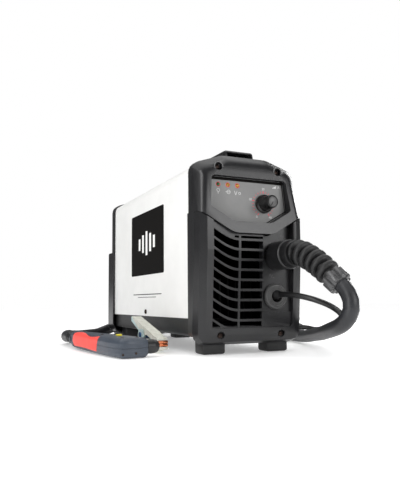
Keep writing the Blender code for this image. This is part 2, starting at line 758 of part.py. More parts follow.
def control_panel():
    outline = rounded(inset(window_corners(), -PANEL_MARGIN))
    plate = slab("control_plate", outline, PANEL_Y, PANEL_Y + PANEL_THICK, "Y", GREY_PANEL)
    cut(plate, rod("stem_hole", (KNOB_X, 0, KNOB_Z), (0, 1, 0), 30 * MM, KNOB_STEM + GAP, sides=16))
    for name, x in LED_XS.items():
        cut(plate, rod(f"{name}_hole", (x, 0, LED_Z), (0, 1, 0), 30 * MM, LED_RADIUS + GAP, sides=12))
        dome = [(LED_RADIUS * math.sin(a), LED_RADIUS * math.cos(a)) for a in (0, 0.5, 1.0, math.pi / 2)]
        length = BOARD_Y - GAP - PANEL_Y
        lens = GREEN_LENS if name == "led_power" else AMBER_LENS
        turned(name, dome + [(LED_RADIUS, -length), (0, -length)], (x, PANEL_Y, LED_Z), (0, -1, 0), lens, 12)
    half = WINDOW_TOP_HALF - 3 * MM
    board = rectangle(-half, WINDOW_BOTTOM + 4.5 * MM, half, WINDOW_TOP - 0.5 * MM, 3 * MM)
    slab("control_board", rounded(board, 2), BOARD_Y, BOARD_Y + BOARD_THICK, "Y", BOARD_GREEN)
    pot_front = PANEL_Y + PANEL_THICK + GAP
    pot_back = pot_front - BOARD_Y + GAP
    turned(
        "potentiometer",
        [(0, 0), (5 * MM, 0), (8 * MM, -2 * MM), (8 * MM, pot_back), (0, pot_back)],
        (KNOB_X, pot_front, KNOB_Z),
        (0, -1, 0),
        BLACK_PAINT,
        16,
    )
    stem = PANEL_THICK + 2 * GAP
    turned(
        "current_knob",
        [
            (0, KNOB_HEIGHT),
            (7.2 * MM, KNOB_HEIGHT),
            (8.4 * MM, KNOB_HEIGHT - 1.5 * MM),
            (9.6 * MM, 5 * MM),
            (KNOB_RADIUS, 3.5 * MM),
            (KNOB_RADIUS, 0),
            (KNOB_STEM, 0),
            (KNOB_STEM, -stem),
            (0, -stem),
        ],
        (KNOB_X, PANEL_Y - GAP, KNOB_Z),
        (0, -1, 0),
        KNOB_BLACK,
        28,
    )


# Cover, tray, feet, handle


def cover_corners():
    """The cover's outline, with a trough for the fingers along its roof."""
    corners = inset(roof(BEZEL_HALF, COVER_BOTTOM - MOULD_WALL - GAP), MOULD_WALL + GAP)
    crown = corners[3][1]
    floor = crown - TROUGH_DEPTH
    trough = [
        (TROUGH_HALF + 2 * MM, crown, 2.5 * MM),
        (TROUGH_HALF, floor, 3 * MM),
        (-TROUGH_HALF, floor, 3 * MM),
        (-TROUGH_HALF - 2 * MM, crown, 2.5 * MM),
    ]
    return corners[:4] + trough + corners[4:]


def cover():
    skin_corners = cover_corners()
    skin = rounded(skin_corners, 3)
    lining = rounded(inset(skin_corners, COVER_SHEET), 3)
    lining[0] = (lining[0][0], COVER_BOTTOM)
    lining[1] = (lining[1][0], COVER_BOTTOM)
    outline = skin[1:] + skin[:1] + lining[:1] + lining[:0:-1]
    front, back = FRONT_DEPTH - COVER_TUCK, REAR_START + COVER_TUCK
    body = slab("cover", outline, front, back, "Y", WHITE_PAINT)
    for side, x in (("left", -SCREW_X), ("right", SCREW_X)):
        tab_top = CASE_TOP - MOULD_WALL - GAP - (SCREW_X + 8 * MM - CROWN_HALF) * roof_slope() - 0.6 * MM
        tab_low = (x - 8 * MM, front + GAP, UPPER_SCREW_Z - 7 * MM)
        join(body, block(f"cover_tab_{side}", tab_low, (x + 8 * MM, front + 1.8 * MM, tab_top)))
        hole = (x, front - 5 * MM, UPPER_SCREW_Z)
        cut(body, rod(f"tab_hole_{side}", hole, (0, 1, 0), 10 * MM, SCREW_RADIUS + SCREW_PLAY, sides=12))
    half = BEZEL_HALF - MOULD_WALL - GAP
    hole_start, hole = (-CASE_HALF, COVER_SCREW_Y, COVER_SCREW_Z), SCREW_RADIUS + SCREW_PLAY
    cut(body, rod("cover_screw_holes", hole_start, (1, 0, 0), CASE_WIDTH, hole, sides=12))
    for side, sign in (("left", -1), ("right", 1)):
        turned(
            f"cover_screw_{side}",
            [
                (0, 1.8 * MM),
                (2 * MM, 1.8 * MM),
                (SCREW_HEAD, 0.6 * MM),
                (SCREW_HEAD, 0),
                (SCREW_RADIUS, 0),
                (SCREW_RADIUS, -8 * MM),
                (0, -8 * MM),
            ],
            (sign * (half + GAP), COVER_SCREW_Y, COVER_SCREW_Z),
            (sign, 0, 0),
            SCREW_STEEL,
            14,
        )


def roof_slope():
    return (CASE_TOP - SHOULDER_Z) / (BEZEL_HALF - CROWN_HALF)


def base_tray():
    channel = [
        (-TRAY_HALF, TRAY_TOP, 0),
        (-TRAY_HALF, TRAY_BOTTOM, 3 * MM),
        (TRAY_HALF, TRAY_BOTTOM, 3 * MM),
        (TRAY_HALF, TRAY_TOP, 0),
        (TRAY_HALF - TRAY_SHEET, TRAY_TOP, 0),
        (TRAY_HALF - TRAY_SHEET, TRAY_BOTTOM + TRAY_SHEET, 1.5 * MM),
        (-TRAY_HALF + TRAY_SHEET, TRAY_BOTTOM + TRAY_SHEET, 1.5 * MM),
        (-TRAY_HALF + TRAY_SHEET, TRAY_TOP, 0),
    ]
    back = REAR_END - REAR_WALL - 4 * MM
    body = slab("base_tray", rounded(channel, 2), TRAY_FRONT + TRAY_SHEET - 0.5 * MM, back, "Y", BLACK_PAINT)
    flange_half, flange_bottom = TRAY_HALF - 11 * MM, FRONT_BOTTOM + MOULD_WALL + 4.5 * MM
    flange = rectangle(-flange_half, flange_bottom, flange_half, 34 * MM)
    join(body, slab("tray_flange", rounded(flange), TRAY_FRONT, TRAY_FRONT + TRAY_SHEET, "Y"))
    for side, x in (("left", -SCREW_X), ("right", SCREW_X)):
        hole = (x, 0, LOWER_SCREW_Z)
        reach = TRAY_FRONT + 12 * MM
        cut(body, rod(f"flange_hole_{side}", hole, (0, 1, 0), reach, SCREW_RADIUS + SCREW_PLAY, sides=12))
    for k, y in enumerate(POST_YS):
        for side in (-1, 1):
            start = (side * POST_X, y, TRAY_BOTTOM + TRAY_SHEET / 2)
            length = POWER_BOARD_Z - start[2] - GAP
            join(body, rod(f"post_{k}_{side}", start, (0, 0, 1), length, POST_RADIUS, sides=12))
    hole_start = (-CASE_HALF, COVER_SCREW_Y, COVER_SCREW_Z)
    cut(body, rod("tray_screw_holes", hole_start, (1, 0, 0), CASE_WIDTH, SCREW_RADIUS + SCREW_PLAY, sides=12))


def feet():
    front = FRONT_BOTTOM_DEPTH + GAP
    back = REAR_START - FOOT_LENGTH - 6 * MM
    for end, y in (("front", front), ("rear", back)):
        for side, sign in (("left", -1), ("right", 1)):
            xs = sorted((sign * (FOOT_OUTER - FOOT_WIDTH), sign * FOOT_OUTER))
            low, high = (xs[0], y, 0), (xs[1], y + FOOT_LENGTH, TRAY_BOTTOM - GAP)
            block(f"foot_{end}_{side}", low, high, RUBBER, FOOT_EDGE)


def carry_handle():
    """A grip over the trough, with a foot standing in each end of it."""
    base = cover_corners()[5][1] + GAP
    start, end = FRONT_DEPTH + 2 * GAP, REAR_START - 2 * GAP
    end_top = CASE_TOP + HANDLE_END_HEIGHT
    grip_bottom = HANDLE_TOP - HANDLE_THICK
    side = [
        (start, base, 0),
        (start + HANDLE_FOOT, base, 3 * MM),
        (start + HANDLE_FOOT + 12 * MM, grip_bottom, 12 * MM),
        (end - HANDLE_FOOT - 12 * MM, grip_bottom, 12 * MM),
        (end - HANDLE_FOOT, base, 3 * MM),
        (end, base, 0),
        (end, end_top, 5 * MM),
        (end - HANDLE_RISE, HANDLE_TOP, 40 * MM),
        (start + HANDLE_RISE, HANDLE_TOP, 40 * MM),
        (start, end_top, 5 * MM),
    ]
    body = slab("carry_handle", rounded(side, 3), -HANDLE_HALF, HANDLE_HALF, "X", BLACK_PLASTIC)

    def narrow(form):
        """Draws the grip in, and the feet enough to stand in the trough."""
        for vertex in form.verts:
            at = min(vertex.co.y - start, end - vertex.co.y)
            share = min(max((at - HANDLE_FOOT) / (HANDLE_RISE - HANDLE_FOOT), 0), 1)
            half = HANDLE_HALF + (HANDLE_GRIP_HALF - HANDLE_HALF) * share
            if vertex.co.z < CASE_TOP - MOULD_WALL:
                half = TROUGH_HALF - 3.2 * MM
            vertex.co.x *= half / HANDLE_HALF

    def slice_feet(form):
        everything = form.verts[:] + form.edges[:] + form.faces[:]
        level = (0, 0, CASE_TOP - MOULD_WALL + GAP)
        bmesh.ops.bisect_plane(form, geom=everything, plane_co=level, plane_no=(0, 0, 1))

    for side in (-1, 1):
        round_edges(body, lambda p: p.z > CASE_TOP and p.x * side > HANDLE_HALF - 0.1 * MM, 3 * MM, 2)
    edit(body, slice_feet)
    edit(body, narrow)
    inner = HANDLE_HALF - HANDLE_WALL
    pocket_low, pocket_top = CASE_TOP - 2.5 * MM, end_top - HANDLE_WALL
    pockets = (("front", start - 1 * MM, start + 20 * MM), ("rear", end - 20 * MM, end + 1 * MM))
    for name, low_y, high_y in pockets:
        cut(body, block(f"handle_pocket_{name}", (-inner, low_y, pocket_low), (inner, high_y, pocket_top)))


# Rear


def rear_panel():
    upper = roof(BEZEL_HALF, REAR_SPLIT - 14 * MM)
    lower = [
        (-CASE_HALF, REAR_BOTTOM, REAR_CORNER),
        (CASE_HALF, REAR_BOTTOM, REAR_CORNER),
        (CASE_HALF, REAR_SPLIT, 3 * MM),
        (-CASE_HALF, REAR_SPLIT, 3 * MM),
    ]
    start = REAR_START - 2 * MM
    body = slab("rear_panel", rounded(lower, 4), start, REAR_END, "Y", BLACK_PLASTIC)
    round_edges(body, lambda p: p.y > REAR_END - 0.1 * MM, REAR_EDGE)
    top = slab("rear_upper", rounded(upper, 4), start, REAR_UPPER_END, "Y")
    round_edges(top, lambda p: p.y > REAR_UPPER_END - 0.1 * MM, REAR_EDGE)
    join(body, top)
    cut(body, block("rear_trim", (-CASE_WIDTH, start - 1 * MM, 0), (CASE_WIDTH, REAR_START, 2 * CASE_TOP)))
    lower_hollow = inset(lower, MOULD_WALL)
    cut(body, slab("rear_lower_hollow", rounded(lower_hollow, 4), start, REAR_END - REAR_WALL, "Y"))
    upper_hollow = inset(roof(BEZEL_HALF, REAR_SPLIT - 20 * MM), MOULD_WALL)
    cut(body, slab("rear_upper_hollow", rounded(upper_hollow, 4), start, REAR_UPPER_END - REAR_WALL, "Y"))
    cut(body, rear_slots())
    half_wide, half_high = SWITCH_WIDE / 2, SWITCH_HIGH / 2
    hole = rectangle(-half_wide, SWITCH_Z - half_high, half_wide, SWITCH_Z + half_high)
    cut(body, slab("switch_hole", rounded(hole), REAR_START, REAR_END, "Y"))
    for name, x in (("mains_gland", GLAND_REAR_X), ("air_inlet", INLET_X)):
        start = (x, REAR_START, REAR_PORT_Z)
        cut(body, rod(f"{name}_hole", start, (0, 1, 0), 50 * MM, 7 * MM + GAP, sides=20))


def rear_slots():
    """Level slots across the fan's bore."""
    tools = []
    rows = 7
    pitch = 2 * (FAN_BORE - 4 * MM) / rows
    for row in range(rows):
        z = FAN_Z + (row - (rows - 1) / 2) * pitch
        reach = abs(z - FAN_Z) + 2.5 * MM
        half = math.sqrt(FAN_BORE**2 - reach**2)
        outline = rounded(rectangle(-half, z - 2.5 * MM, half, z + 2.5 * MM, 2 * MM), 2)
        tools.append(slab("slot", outline, REAR_START + 10 * MM, REAR_END + 5 * MM, "Y"))
    return merged("rear_slots", tools)


def rear_switch():
    """A rocker in a frame that is held in the rear panel."""
    back = REAR_UPPER_END
    half_wide, half_high = SWITCH_WIDE / 2, SWITCH_HIGH / 2
    wide, high = half_wide + 3 * MM, half_high + 3 * MM
    flange = rectangle(-wide, SWITCH_Z - high, wide, SWITCH_Z + high, 2 * MM)
    frame = slab("mains_switch_frame", rounded(flange, 2), back + GAP, back + 2.3 * MM, "Y", BLACK_PLASTIC)
    body_low = (-half_wide + GAP, back - 22 * MM, SWITCH_Z - half_high + GAP)
    join(frame, block("switch_body", body_low, (half_wide - GAP, back + 1 * MM, SWITCH_Z + half_high - GAP)))
    wide, high = half_wide - 2.5 * MM, half_high - 2.5 * MM
    well_low, well_high = (-wide, back - 8 * MM, SWITCH_Z - high), (wide, back + 10 * MM, SWITCH_Z + high)
    cut(frame, block("switch_well", well_low, well_high))
    reach = half_high - 3.2 * MM
    profile = [
        (-4.5 * MM, -reach * 0.75, 1 * MM),
        (1.5 * MM, -reach, 0.5 * MM),
        (0.2 * MM, 0, 0),
        (1.5 * MM, reach, 0.5 * MM),
        (-4.5 * MM, reach * 0.75, 1 * MM),
    ]
    turn = Matrix.Rotation(SWITCH_TILT, 2)
    tilted = [(*(turn @ Vector((u, v))), radius) for u, v, radius in profile]
    outline = [(u + back, v + SWITCH_Z) for u, v in rounded(tilted, 2)]
    rocker = slab("mains_rocker", outline, -half_wide + 3 * MM, half_wide - 3 * MM, "X", KNOB_BLACK)
    hang_on(rocker, (0, back, SWITCH_Z))


def rear_fittings():
    """The mains cable's gland, with its bore open, and the air inlet's nipple."""
    inside = REAR_END - REAR_WALL - GAP
    bore = 4.5 * MM
    turned(
        "mains_gland",
        [
            (bore, 20 * MM),
            (8.5 * MM, 20 * MM),
            (10 * MM, 14 * MM),
            (10 * MM, 8 * MM),
            (11.5 * MM, 8 * MM),
            (11.5 * MM, GAP),
            (7 * MM, GAP),
            (7 * MM, -12 * MM),
            (bore, -12 * MM),
            (bore, 20 * MM),
        ],
        (GLAND_REAR_X, REAR_END, REAR_PORT_Z),
        (0, 1, 0),
        BLACK_PLASTIC,
        16,
    )
    inner = 2.8 * MM
    turned(
        "air_inlet",
        [
            (inner, 24 * MM),
            (4.5 * MM, 24 * MM),
            (5.5 * MM, 17 * MM),
            (4.5 * MM, 15.5 * MM),
            (5.5 * MM, 10 * MM),
            (9.5 * MM, 8 * MM),
            (9.5 * MM, GAP),
            (7 * MM, GAP),
            (7 * MM, -REAR_WALL - GAP),
            (inner, -REAR_WALL - GAP),
            (inner, 24 * MM),
        ],
        (INLET_X, REAR_END, REAR_PORT_Z),
        (0, 1, 0),
        BRASS,
        16,
    )
    low = (FAN_SIDE / 2 + 3 * MM, inside - 42 * MM, REAR_PORT_Z - 11 * MM)
    high = (TRAY_HALF - TRAY_SHEET - 1 * MM, inside - GAP, REAR_PORT_Z + 20 * MM)
    block("solenoid_valve", low, high, BLACK_PAINT, 2 * MM)


def fan():
    back = REAR_END - REAR_WALL - GAP
    front = back - FAN_DEPTH
    half = FAN_SIDE / 2
    square = rectangle(-half, FAN_Z - half, half, FAN_Z + half, 4 * MM)
    frame = slab("fan_frame", rounded(square, 2), front, back, "Y", BLACK_PLASTIC)
    bore_start = (0, front - 5 * MM, FAN_Z)
    cut(frame, rod("fan_bore", bore_start, (0, 1, 0), FAN_DEPTH + 10 * MM, FAN_BORE, sides=30))
    hub = rod("fan_mount", (0, back - 3 * MM, FAN_Z), (0, 1, 0), 3 * MM, FAN_HUB, sides=20)
    join(frame, hub)
    for k in range(4):
        angle = math.radians(45 + 90 * k)
        aim = Vector((math.cos(angle), 0, math.sin(angle)))
        start = Vector((0, back - 1.5 * MM, FAN_Z)) + aim * (FAN_HUB - 3 * MM)
        join(frame, rod(f"fan_strut_{k}", start, aim, FAN_BORE - FAN_HUB + 6 * MM, 1.3 * MM, sides=8))
    depth = FAN_DEPTH - 3 * MM - 3 * GAP
    rotor = rod("fan_rotor", (0, front + GAP, FAN_Z), (0, 1, 0), depth, FAN_HUB, BLACK_PAINT, sides=20)
    reach = FAN_BORE - 1.2 * MM
    for k in range(FAN_BLADES):
        blade = block(f"fan_blade_{k}", (FAN_HUB - 2 * MM, -0.8 * MM, -9 * MM), (reach, 0.8 * MM, 9 * MM))
        spin = Matrix.Rotation(2 * math.pi * k / FAN_BLADES, 4, "Y")
        pitch = Matrix.Rotation(math.radians(38), 4, "X")
        middle = Matrix.Translation((0, front + GAP + depth / 2, FAN_Z))
        blade.data.transform(middle @ spin @ pitch)
        join(rotor, blade)
    hang_on(rotor, (0, front, FAN_Z))


# Inside


def inside():
    board_top = POWER_BOARD_Z + 2 * MM
    half = POST_X + 6 * MM
    slab(
        "power_board",
        rounded(rectangle(-half, POST_YS[0] - 12 * MM, half, POST_YS[1] + 12 * MM, 3 * MM), 2),
        POWER_BOARD_Z,
        board_top,
        "Z",
        BOARD_GREEN,
    )
    rest = board_top + GAP
    fin_top, base = rest + 60 * MM, rest + 6 * MM
    width, fins, fin = 100 * MM, 9, 2.4 * MM
    comb = [(-width / 2, rest), (width / 2, rest)]
    pitch = (width - fin) / (fins - 1)
    for k in reversed(range(fins)):
        x = -width / 2 + k * pitch
        comb += [(x + fin, fin_top), (x, fin_top)]
        if k:
            comb += [(x, base), (x - pitch + fin, base)]
    slab("heat_sink", comb, 90 * MM, 200 * MM, "Y", ALUMINIUM)
    core_y, core_half, core_deep = 240 * MM, 30 * MM, 15 * MM
    core_top, leg = rest + 50 * MM, 8 * MM
    core = block(
        "transformer_core",
        (-core_half, core_y - core_deep, rest),
        (core_half, core_y + core_deep, core_top),
        FERRITE,
    )
    for side in (-1, 1):
        xs = sorted((side * leg, side * (core_half - 7 * MM)))
        cut(
            core,
            block(
                f"core_window_{side}",
                (xs[0], core_y - 30 * MM, rest + 8 * MM),
                (xs[1], core_y + 30 * MM, core_top - 8 * MM),
            ),
        )
    room = 6 * MM
    winding = block(
        "transformer_winding",
        (-leg - room, core_y - core_deep - room, rest + 8 * MM + GAP),
        (leg + room, core_y + core_deep + room, core_top - 8 * MM - GAP),
        COPPER,
        2 * MM,
    )
    leg_room = block(
        "leg_room",
        (-leg - GAP, core_y - core_deep - GAP, rest),
        (leg + GAP, core_y + core_deep + GAP, core_top),
    )
    cut(winding, leg_room)
    rod("capacitor", (0, 300 * MM, rest), (0, 0, 1), 45 * MM, 17 * MM, BLACK_PAINT, sides=20)


# Torch


def torch_corners():
    """The torch's outline seen from above as it lies, tail at +Y and head towards +X."""
    from_tail = [
        (-10, 0, 3),
        (-9.3, -31, 60),
        (-5, -86, 90),
        (2.5, -146, 30),
        (8.5, -176, 6),
        (23.5, -176, 30),
        (44.2, -171, 2),
        (40.2, -147.5, 2),
        (22, -150.5, 10),
        (19.5, -101, 60),
        (13.5, -56, 90),
        (10, -26, 60),
        (10, 0, 3),
    ]
    return [(TORCH_TAIL[0] + x * MM, TORCH_TAIL[1] + y * MM, radius * MM) for x, y, radius in from_tail]


def grip_band(grow):
    """The soft inlay's outline along the torch's spine."""
    corners = torch_corners()
    outline = rounded(inset(corners, -0.6 * MM - grow), 4)
    inner = rounded(inset(corners, 1.4 * MM + grow), 4)
    low, high = GRIP_FRONT - grow, GRIP_BACK + grow

    def side(points):
        right, front = TORCH_TAIL[0] + 1 * MM, TORCH_TAIL[1] - 166 * MM
        line = sorted((y, x) for x, y in points if x < right and y > front)
        ys = [y for y, _ in line]
        xs = [x for _, x in line]
        return [(float(np.interp(y, ys, xs)), y) for y in np.linspace(low, high, 7)]

    return side(outline) + side(inner)[::-1]


def torch():
    already = set(bpy.data.objects)
    middle = TORCH_THICK / 2
    corners = torch_corners()
    shape = rounded(corners, 2)
    hollow_shape = rounded(inset(corners, TORCH_WALL), 2)
    hollow = slab("torch_hollow", hollow_shape, TORCH_WALL, TORCH_THICK - TORCH_WALL, "Z")
    grip_room = slab("grip_room", grip_band(GAP), GRIP_Z - GAP, TORCH_THICK - GRIP_Z + GAP, "Z")
    neck = Vector((*TORCH_NECK, middle))
    aim = TORCH_HEAD_AIM
    head_room = rod("head_room", neck - aim * 25 * MM, aim, 35 * MM, TORCH_HEAD_RADIUS + GAP, sides=20)
    tail = Vector((*TORCH_TAIL, middle))
    tail_room = rod("tail_room", tail - Vector((0, 12 * MM, 0)), (0, 1, 0), 20 * MM, 7 * MM, sides=16)
    px, py = TRIGGER_PIVOT
    wide = TRIGGER_HIGH / 2
    trigger_room = block(
        "trigger_room",
        (px - 5 * MM, py - 4 * MM, middle - wide - 0.5 * MM),
        (px + 20 * MM, py + TRIGGER_LENGTH + 1.5 * MM, middle + wide + 0.5 * MM),
    )
    cx, cy = CATCH_PIVOT
    catch_low, catch_deep = (cx, cy + 1 * MM, 1 * MM), TORCH_THICK - 2 * MM
    catch_room = rod("catch_room", catch_low, (0, 0, 1), catch_deep, 9.5 * MM, sides=16)
    split_low, split_high = middle - GAP / 2, middle + GAP / 2
    halves = (("torch_shell_lower", 0, split_low), ("torch_shell_upper", split_high, TORCH_THICK))
    for name, low, high in halves:
        shell = slab(name, shape, low, high, "Z", TORCH_GREY)
        outer = 0 if low == 0 else TORCH_THICK
        round_edges(shell, lambda p, outer=outer: abs(p.z - outer) < 0.01 * MM, TORCH_EDGE)
        cut(shell, hollow, grip_room, head_room, tail_room, trigger_room, catch_room)
    grip = slab("torch_grip", grip_band(0), GRIP_Z, TORCH_THICK - GRIP_Z, "Z", SOFT_RED)
    round_edges(grip, lambda p: p.z < GRIP_Z + 0.01 * MM or p.z > TORCH_THICK - GRIP_Z - 0.01 * MM, 1 * MM, 1)
    rod("torch_head", neck - aim * 24 * MM, aim, 27 * MM, TORCH_HEAD_RADIUS, BRASS, sides=20)
    turned(
        "torch_cap",
        [
            (4.3 * MM, 17.5 * MM),
            (6 * MM, 17.5 * MM),
            (7.6 * MM, 15.5 * MM),
            (TORCH_CAP_RADIUS, 11 * MM),
            (TORCH_CAP_RADIUS, 1 * MM),
            (TORCH_HEAD_RADIUS + GAP, 1 * MM),
            (TORCH_HEAD_RADIUS + GAP, 3 * MM + GAP),
            (4.3 * MM, 3 * MM + GAP),
            (4.3 * MM, 17.5 * MM),
        ],
        neck,
        aim,
        KNOB_BLACK,
        24,
    )
    turned(
        "torch_nozzle",
        [(0, 19 * MM), (2.2 * MM, 19 * MM), (4 * MM, 17 * MM), (4 * MM, 3 * MM + GAP), (0, 3 * MM + GAP)],
        neck,
        aim,
        COPPER,
        20,
    )
    front = px - 2 * MM
    lever = [
        (front, py - 2.5 * MM, 2 * MM),
        (px + 2.5 * MM, py - 2.5 * MM, 2 * MM),
        (px + 7.5 * MM, py + 10 * MM, 6 * MM),
        (px + 6.5 * MM, py + TRIGGER_LENGTH, 2 * MM),
        (front + 3.5 * MM, py + TRIGGER_LENGTH, 0),
        (front + 2 * MM, py + 12 * MM, 0),
    ]
    trigger = slab("torch_trigger", rounded(lever, 3), middle - wide, middle + wide, "Z", TRIGGER_RED)
    hang_on(trigger, (px, py, middle))
    wedge = [
        (cx - 3 * MM, cy - 2.5 * MM, 1.5 * MM),
        (cx + 3 * MM, cy - 2.5 * MM, 1.5 * MM),
        (cx + 4.5 * MM, cy + 7 * MM, 1.5 * MM),
        (cx - 2.5 * MM, cy + 7 * MM, 1.5 * MM),
    ]
    catch = slab("torch_safety_catch", rounded(wedge, 2), 2 * MM, TORCH_THICK - 1.5 * MM, "Z", YELLOW)
    hang_on(catch, (cx, cy, middle))
    torch_tail()
    tilt = bpy.data.objects.new("torch_seat", None)
    parts.objects.link(tilt)
    tilt.parent = unit_origin
    tilt.matrix_local = torch_lift()
    for made in set(bpy.data.objects) - already - {tilt}:
        made.parent = tilt


def torch_lift():
    """The torch rises towards its tail from where its head rests."""
    rest = Vector((*TORCH_REST, 0))
    return Matrix.Translation(rest) @ Matrix.Rotation(TORCH_RISE, 4, "X") @ Matrix.Translation(-rest)


def torch_tail():
    """The ribbed strain relief behind the torch's handle."""
    middle = TORCH_THICK / 2
    x, y = TORCH_TAIL
    root, ring = 8.6 * MM, 10 * MM
    points, radii = [(x, y + GAP, middle), (x, y + 6 * MM, middle)], [ring, ring]
    for k in range(5):
        start = y + 7 * MM + 6 * MM * k
        points += [(x, start + 1 * MM, middle), (x, start + 4 * MM, middle)]
        radii += [root, ring]
    points.append((x, y + TAIL_LENGTH, middle))
    radii.append(root + 0.2 * MM)
    tube("torch_strain_relief", points, radii, RUBBER, 3)


# Work clamp


def clamp():
    y0, z0 = CLAMP_PIVOT
    left, right = CLAMP_X - CLAMP_HALF, CLAMP_X + CLAMP_HALF
    tip, end = y0 - CLAMP_JAW, y0 + CLAMP_GRIP
    lower = [
        (tip, 4.5 * MM, 0),
        (tip + 30 * MM, 0, 10 * MM),
        (y0 + 20 * MM, 0, 30 * MM),
        (end, 8 * MM, 0),
        (end, 15.5 * MM, 2 * MM),
        (y0 + 22 * MM, 9 * MM, 20 * MM),
        (y0 + 12 * MM, 12 * MM, 4 * MM),
        (y0 + 9 * MM, z0 + 8 * MM, 5 * MM),
        (y0 - 9 * MM, z0 + 8 * MM, 5 * MM),
        (y0 - 14 * MM, 9 * MM, 4 * MM),
        (tip + 15 * MM, JAW_Z - CONTACT_THICK - 0.6 * MM, 0),
        (tip, JAW_Z - CONTACT_THICK - 0.6 * MM, 0),
    ]
    arm = slab("clamp_lower_arm", rounded(lower, 3), left, right, "X", STEEL)
    room_low = (left + CLAMP_SHEET, tip + 17 * MM, CLAMP_SHEET)
    cut(arm, block("lower_channel", room_low, (right - CLAMP_SHEET, y0 + 30 * MM, 60 * MM)))
    pin_start = (left - 2 * MM, y0, z0)
    pin_room = CLAMP_PIN + GAP
    cut(arm, rod("lower_pin_hole", pin_start, (1, 0, 0), 2 * CLAMP_HALF + 4 * MM, pin_room, sides=16))
    thin = CLAMP_SHEET + 0.5 * MM
    slope_start, slope = (tip + 31 * MM, 26.6 * MM), 0.245
    upper = [
        (tip, JAW_Z + CONTACT_THICK + 0.6 * MM, 0),
        (tip + 17 * MM, JAW_Z + CONTACT_THICK + 0.6 * MM, 4 * MM),
        (y0 - 14 * MM, z0 + 2 * MM, 6 * MM),
        (y0 - 7 * MM, z0 - 6 * MM, 4 * MM),
        (y0 + 7 * MM, z0 - 6 * MM, 4 * MM),
        (y0 + 12 * MM, z0 + 5 * MM, 6 * MM),
        (end, 37.5 * MM, 0),
        (end, slope_start[1] + slope * (end - slope_start[0]), 2 * MM),
        (*slope_start, 20 * MM),
        (tip + 10 * MM, 20.5 * MM, 10 * MM),
        (tip, 19.6 * MM, 0.8 * MM),
    ]
    arm = slab("clamp_upper_arm", rounded(upper, 3), left + thin, right - thin, "X", STEEL)
    under = slope_start[1] - CLAMP_SHEET
    channel = [
        (tip + 19 * MM, z0 - 20 * MM),
        (end + 5 * MM, z0 - 20 * MM),
        (end + 5 * MM, under + slope * (end + 5 * MM - slope_start[0])),
        (slope_start[0], under),
        (tip + 19 * MM, under - 3.4 * MM),
    ]
    inner = thin + CLAMP_SHEET
    cut(arm, slab("upper_channel", channel, left + inner, right - inner, "X"))
    cut(arm, rod("upper_pin_hole", pin_start, (1, 0, 0), 2 * CLAMP_HALF + 4 * MM, pin_room, sides=16))
    hang_on(arm, (CLAMP_X, y0, z0))
    head = 1.2 * MM
    pin_length = 2 * (CLAMP_HALF + GAP) + head
    pin = rod("clamp_pin", (left - GAP - head / 2, y0, z0), (1, 0, 0), pin_length, CLAMP_PIN, STEEL, sides=16)
    for name, x in (("left", left - GAP - head), ("right", right + GAP)):
        join(pin, rod(f"pin_head_{name}", (x, y0, z0), (1, 0, 0), head, 4 * MM, sides=16))
    clamp_spring(left + inner + 0.8 * MM, right - inner - 0.8 * MM)
    low_face, high_face = JAW_Z - CONTACT_THICK - GAP / 2, JAW_Z + GAP / 2
    for name, z in (("clamp_contact_lower", low_face), ("clamp_contact_upper", high_face)):
        contact = block(
            name,
            (left + GAP, tip + 0.5 * MM, z),
            (right - GAP, tip + 14 * MM, z + CONTACT_THICK),
            COPPER,
            0.6 * MM,
        )
        if name == "clamp_contact_upper":
            hang_on(contact, (CLAMP_X, y0, z0))


def clamp_spring(left, right):
    """A torsion spring wound round the pin."""
    y0, z0 = CLAMP_PIVOT
    wire, curls, each = 0.7 * MM, 4.5, 10
    ring = CLAMP_PIN + 2.6 * MM
    steps = int(curls * each)
    points = []
    for k in range(steps + 1):
        angle = 2 * math.pi * k / each
        x = left + wire + (right - left - 2 * wire) * k / steps
        points.append((x, y0 + ring * math.cos(angle), z0 + ring * math.sin(angle)))
    tube("clamp_spring", points, wire, SPRING_STEEL, 1)
    report_gap("clamp_spring", points, wire, each)


# Leads


def smooth_route(points, spacing):
    """Points, in metres, along a smooth curve through a route whose first and last stretches are straight."""
    knots = np.array(points, float) * MM
    steps = np.sqrt(np.linalg.norm(np.diff(knots, axis=0), axis=1))
    at = np.concatenate([[0], np.cumsum(steps)])
    slopes = np.zeros_like(knots)
    for k in range(1, len(knots) - 1):
        before, after = at[k] - at[k - 1], at[k + 1] - at[k]
        rise_before = (knots[k] - knots[k - 1]) / before
        rise_after = (knots[k + 1] - knots[k]) / after
        slopes[k] = (rise_before * after + rise_after * before) / (before + after)
    slopes[:2] = (knots[1] - knots[0]) / (at[1] - at[0])
    slopes[-2:] = (knots[-1] - knots[-2]) / (at[-1] - at[-2])
    fine = []
    for k in range(1, len(knots) - 2):
        width = at[k + 1] - at[k]
        for t in np.linspace(0, 1, 24, endpoint=k == len(knots) - 3):
            a, b = 2 * t**3 - 3 * t**2 + 1, t**3 - 2 * t**2 + t
            c, d = -2 * t**3 + 3 * t**2, t**3 - t**2
            fine.append(a * knots[k] + b * width * slopes[k] + c * knots[k + 1] + d * width * slopes[k + 1])
    fine = np.array(fine)
    along = np.concatenate([[0], np.cumsum(np.linalg.norm(np.diff(fine, axis=0), axis=1))])
    even = np.linspace(0, along[-1], max(int(round(along[-1] / spacing)), 2) + 1)
    middle = np.stack([np.interp(even, along, fine[:, k]) for k in range(3)], axis=1)
    return np.vstack([knots[:1], middle, knots[-1:]])


